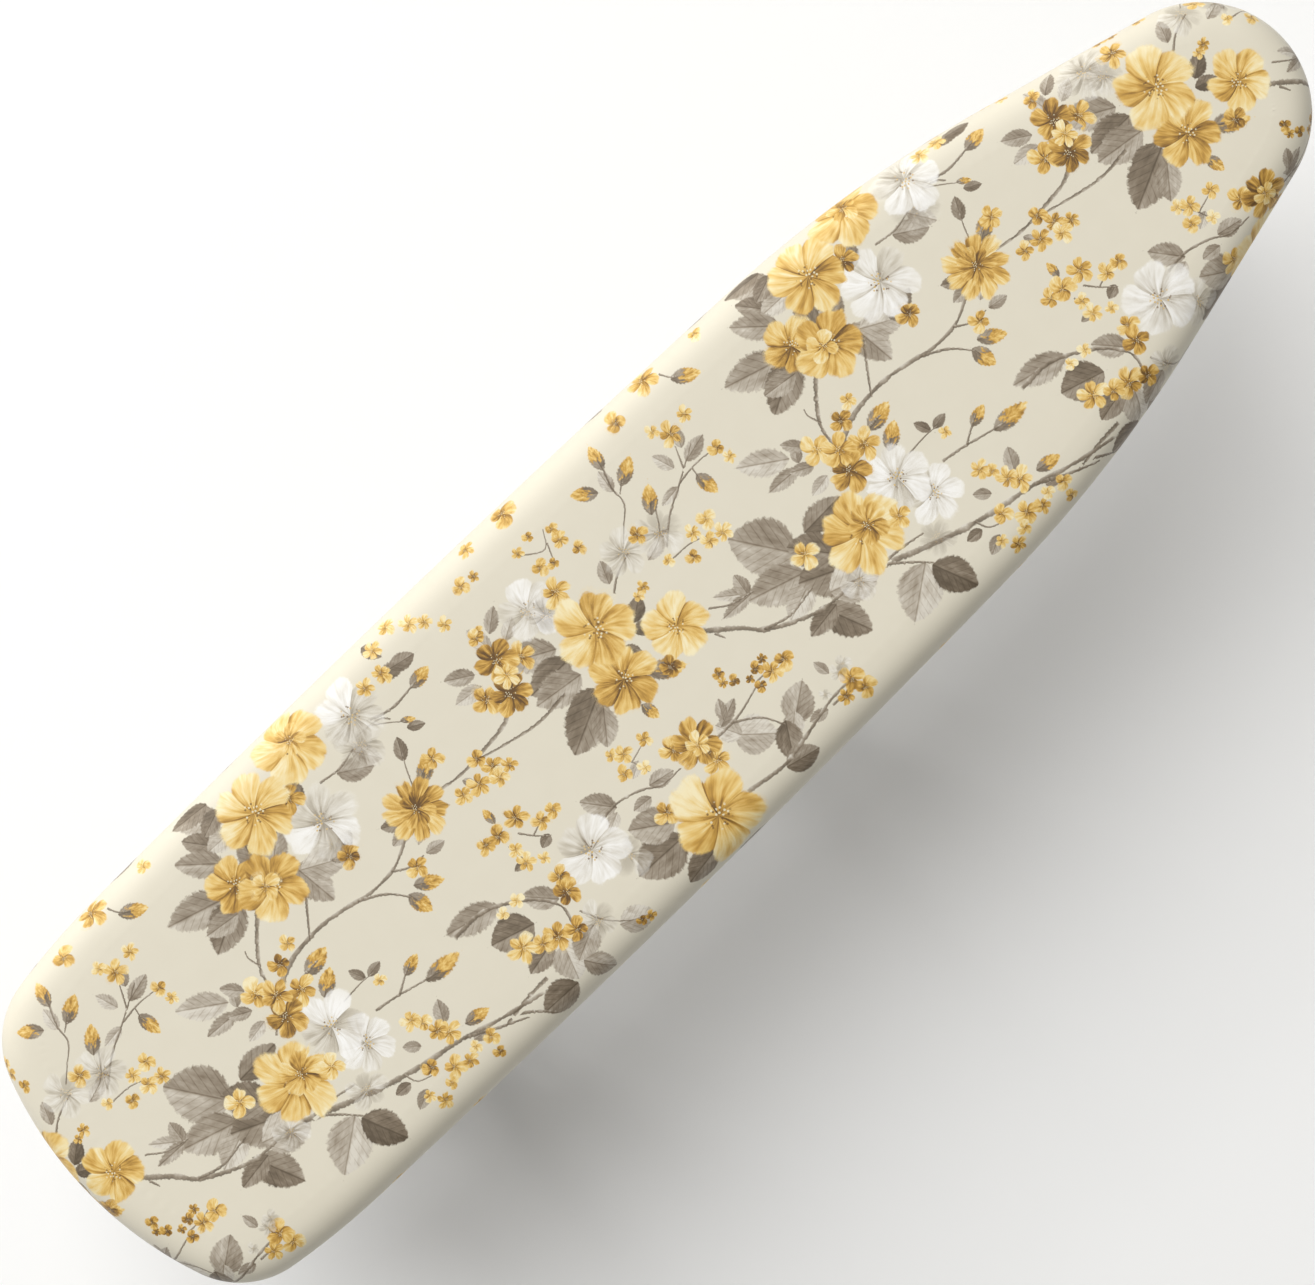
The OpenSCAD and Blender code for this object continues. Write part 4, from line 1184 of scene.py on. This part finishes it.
def stitch_row(inset, height, count, length=2.1, thick=0.24):
    """A row of short stitches round the hem. Each is a bowed bar, thickest in its middle, whose half
    thickness is t sqrt(1 - s^2) at s from -1 to 1 along it.
    """
    run = (np.arange(count) + 0.5) * 2 * HALF_RUN / count
    s = np.array([-1, -0.8, -0.35, 0.35, 0.8, 1.0])
    t = np.arange(5) * 2 * np.pi / 5
    along = run[:, None] + 0.5 * length * s
    points, normals = outline_at(along)
    core = np.dstack([points - inset * normals, HEM_Z + height - 0.16 * (1 - s**2) + hem_drop(along)])
    fat = thick * np.sqrt(1.02 - s**2)[None, :, None, None]
    out = np.concatenate([normals, np.zeros_like(normals[..., :1])], axis=2)[:, :, None]
    circle = np.cos(t)[:, None] * out + np.sin(t)[:, None] * np.array([0, 0, 1.0])
    ring = core[:, :, None] + fat * circle
    one = grid_faces(len(s), len(t), False, True).tolist() + [[4, 3, 2, 1, 0], [25, 26, 27, 28, 29]]
    one = outward(ring[0].reshape(-1, 3), one)
    size = len(s) * len(t)
    return ring.reshape(-1, 3), [[v + k * size for v in face] for k in range(count) for face in one]


points, faces = hem_ring(folded_tape(), 1500, pucker=0.05)
hem_tape = make_piece("hem_tape", points, faces, tape_cloth, "board")
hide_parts("hem_binding")
points, faces = stitch_row(22.3, -0.66, 372)
hem_stitches = make_piece("hem_stitches", points, faces, thread, "board")
points, faces = hem_ring(round_loop(1.15, 10) + HEM_CHANNEL, 900)
elastic = moulded("elastic", (0.72, 0.71, 0.67), (0.82, 0.81, 0.78), 0.7, 2400.0, 0.0001)
elastic_core = make_piece("elastic_core", points, faces, elastic, "board")
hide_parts("hem_elastic")

# ---- the stand's rod, feet and knob --------------------------------------------------------------------

ROD_Z, ROD_R, BASE_BEND = 8.0, 4.0, 18.0
BASE_CORNERS = np.array([(-200.0, -44.0), (222.0, -24.0), (222.0, 24.0), (-200.0, 44.0)])


def bent_line(corners, bend, steps=22, straight=14):
    """A closed line through corners with each one rounded: straight runs, then arcs that leave and meet them
    squarely. Returns its points and its outward normals.
    """
    line, heads = [], []
    for a, b, c in zip(corners, np.roll(corners, -1, axis=0), np.roll(corners, -2, axis=0)):
        u, v = (b - a) / np.linalg.norm(b - a), (c - b) / np.linalg.norm(c - b)
        turned = math.acos(u @ v)
        start = b - bend * math.tan(turned / 2) * u
        centre = start + bend * np.array([-u[1], u[0]])
        first = math.atan2(u[1], u[0]) - math.pi / 2
        t = first + turned * np.linspace(0, 1, steps)
        line.append(centre + bend * np.stack([np.cos(t), np.sin(t)], axis=-1))
        heads.append(t)
    points, turns = [], []
    for k, arc_points in enumerate(line):
        ahead = line[(k + 1) % len(line)]
        share = np.linspace(0, 1, straight + 2)[1:-1, None]
        points += [arc_points, arc_points[-1] + share * (ahead[0] - arc_points[-1])]
        turns += [heads[k], np.full(straight, heads[k][-1])]
    turns = np.concatenate(turns)
    return np.concatenate(points), np.stack([np.cos(turns), np.sin(turns)], axis=-1)


def at_height(pairs, z):
    return np.concatenate([pairs, np.full((len(pairs), 1), z)], axis=1)


line, normals = bent_line(BASE_CORNERS, BASE_BEND)
points, faces = swept(at_height(line, ROD_Z), at_height(normals, 0.0), round_loop(ROD_R, 28))
base_rod = make_piece("base_rod", points, outward(points, faces), enamel, "base")
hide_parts("base_loop")


def foot_section():
    """A foot's section across the rod: a block with rounded corners whose top is open in a round channel,
    from one lip round the channel to the other and back round the outside.
    """
    width, top, bead = 7.5, 10.4, 1.5
    lip = math.asin((top - ROD_Z) / ROD_R)
    t = np.linspace(math.pi - lip, 2 * math.pi + lip, 25)
    channel = np.stack([ROD_R * np.cos(t), ROD_Z + ROD_R * np.sin(t)], axis=-1)
    right, high, corners = width - bead, top - bead, []
    for x, z, first in ((right, high, 90), (right, bead, 0), (-right, bead, -90), (-right, high, -180)):
        a = np.radians(np.linspace(first, first - 90, 7))
        corners.append(np.stack([x + bead * np.cos(a), z + bead * np.sin(a)], axis=-1))
    sole = np.stack([np.linspace(right, -right, 13)[1:-1], np.zeros(11)], axis=-1)
    return np.concatenate([channel, corners[0], corners[1], sole, corners[2], corners[3]])


def rubber_foot(x, side):
    """A foot moulded along the rod: its section shrinks by r - sqrt(r^2 - d^2) towards its middle at the
    ends, and grooves of 0.7 mm cross its sole.
    """
    half, bead = 13.0, 1.3
    edge = bead * (1 - np.cos(np.linspace(0, math.pi / 2, 6)))
    s = np.concatenate([-half + edge, np.linspace(-half + bead, half - bead, 61)[1:-1], half - edge[::-1]])
    deep = np.maximum(0, bead - (half - abs(s)))
    shrink = bead - np.sqrt(np.maximum(bead**2 - deep**2, 0))
    section = foot_section()
    ahead, behind = np.roll(section, -1, axis=0), np.roll(section, 1, axis=0)
    along = ahead - behind
    inward = np.stack([along[:, 1], -along[:, 0]], axis=-1) / np.linalg.norm(along, axis=1)[:, None]
    bar = section[None] + 0.8 * shrink[:, None, None] * inward[None]
    groove = 0.7 * np.clip(6 * np.cos(2 * np.pi * s / 4.3) - 3.6, 0, 1) * (abs(s) < 10.6)
    low = np.clip(1 - bar[..., 1] / 0.3, 0, 1)
    bar[..., 1] += groove[:, None] * low
    front, rear = BASE_CORNERS[2:]
    lean = (front[1] - rear[1]) / (front[0] - rear[0])
    across = np.array([-lean * side, 1.0])
    across /= np.linalg.norm(across)
    run = np.array([across[1], -across[0]])
    y = side * (rear[1] + lean * (x - rear[0]))
    flat_place = np.array([x, y]) + s[:, None, None] * run + bar[..., :1] * across
    ring = np.concatenate([flat_place, bar[..., 1:]], axis=2)
    n = len(section)
    ends = [list(range(n))[::-1], list(range((len(s) - 1) * n, len(s) * n))]
    faces = grid_faces(len(s), n, False, True).tolist() + ends
    ring = ring.reshape(-1, 3)
    return ring, outward(ring, faces)


for end, x in (("rear", -170.0), ("front", 188.0)):
    for name, side in (("left", 1), ("right", -1)):
        points, faces = rubber_foot(x, side)
        foot = make_piece(f"rubber_foot_{end}_{name}", points, faces, rubber, "base")
        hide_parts(f"foot_{end}_{name}")


def fluted_knob():
    """A five-lobed knob: at each height its radius is R + lobe x cos 5t, and the lobes fade out in the recess
    of its top.
    """
    low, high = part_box("lock_knob")
    middle = (np.array(low) + np.array(high)) / 2 / MM
    z0, tall = low[2] / MM, (high[2] - low[2]) / MM
    profile = np.array([
        (0, 0.6, 0), (3.5, 0.6, 0), (4.6, 0.5, 0), (4.8, 0.05, 0), (6, 0, 0.3), (8.1, 0, 1), (8.8, 0.25, 1),
        (9.1, 0.8, 1), (9.25, 2, 1), (9.3, 5, 1), (9.3, 8, 1), (9.25, 10, 1), (9.0, 11, 1), (8.4, 11.7, 1),
        (7.5, tall, 0.8), (6.2, tall, 0.3), (4.9, tall, 0), (4.6, tall - 0.12, 0), (4.45, tall - 0.5, 0),
        (4.4, tall - 1.3, 0), (4.1, tall - 1.5, 0), (2.5, tall - 1.35, 0), (1.2, tall - 1.25, 0),
        (0, tall - 1.2, 0),
    ])
    profile, _ = along_curve(profile, 90)
    t = np.linspace(0, 2 * np.pi, 150, endpoint=False)
    radius = np.maximum(profile[:, :1], 0) + 1.2 * profile[:, 2:] * np.cos(5 * t) * (profile[:, :1] > 5)
    radius[[0, -1]] = 0
    height = np.broadcast_to(np.clip(z0 + profile[:, 1:2], z0, z0 + tall), radius.shape)
    ring = np.stack([middle[0] + radius * np.cos(t), middle[1] + radius * np.sin(t), height], axis=-1)
    points, faces = weld(ring.reshape(-1, 3), grid_faces(len(profile), len(t), False, True).tolist())
    return points, outward(points, faces)


points, faces = fluted_knob()
knob = make_piece("knob_grip", points, faces, knob_stuff, "lock")
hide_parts("lock_knob")

# ---- finishes of the parts kept from the frame ---------------------------------------------------------

KEPT = {
    enamel: ["rim_frame", "nose_rail", "rear_arm", "front_arm"],
    mesh_enamel: ["mesh_top"],
    zinc: [
        "rear_top_plate", "front_top_plate", "rear_top_clips", "front_top_clips", "board_rivets",
        "rear_base_plate", "front_base_plate", "rear_base_clips", "front_base_clips", "base_rivets",
        "stop_brackets", "lock_stud", "lock_nut",
    ],
    nylon: ["rear_top_bushes", "front_top_bushes", "rear_base_bushes", "front_base_bushes"],
    knob_stuff: ["clamp_block"],
    rubber: ["stop_buffers"],
}
for finish, nodes in KEPT.items():
    for node in nodes:
        slots = frame["nodes"][node].data.materials
        slots.clear()
        slots.append(finish)

# ---- the floor -----------------------------------------------------------------------------------------

net = Net("pale_floor", rough=0.9)
net.set(Base_Color=net.mix(net.noise(net.place(), 3.0), (0.90, 0.90, 0.89), (0.93, 0.93, 0.92)))
mesh = bpy.data.meshes.new("floor")
mesh.from_pydata([(-4, -4, 0), (4, -4, 0), (4, 4, 0), (-4, 4, 0)], [], [(0, 1, 2, 3)])
mesh.materials.append(net.material)
add_object("floor", mesh)
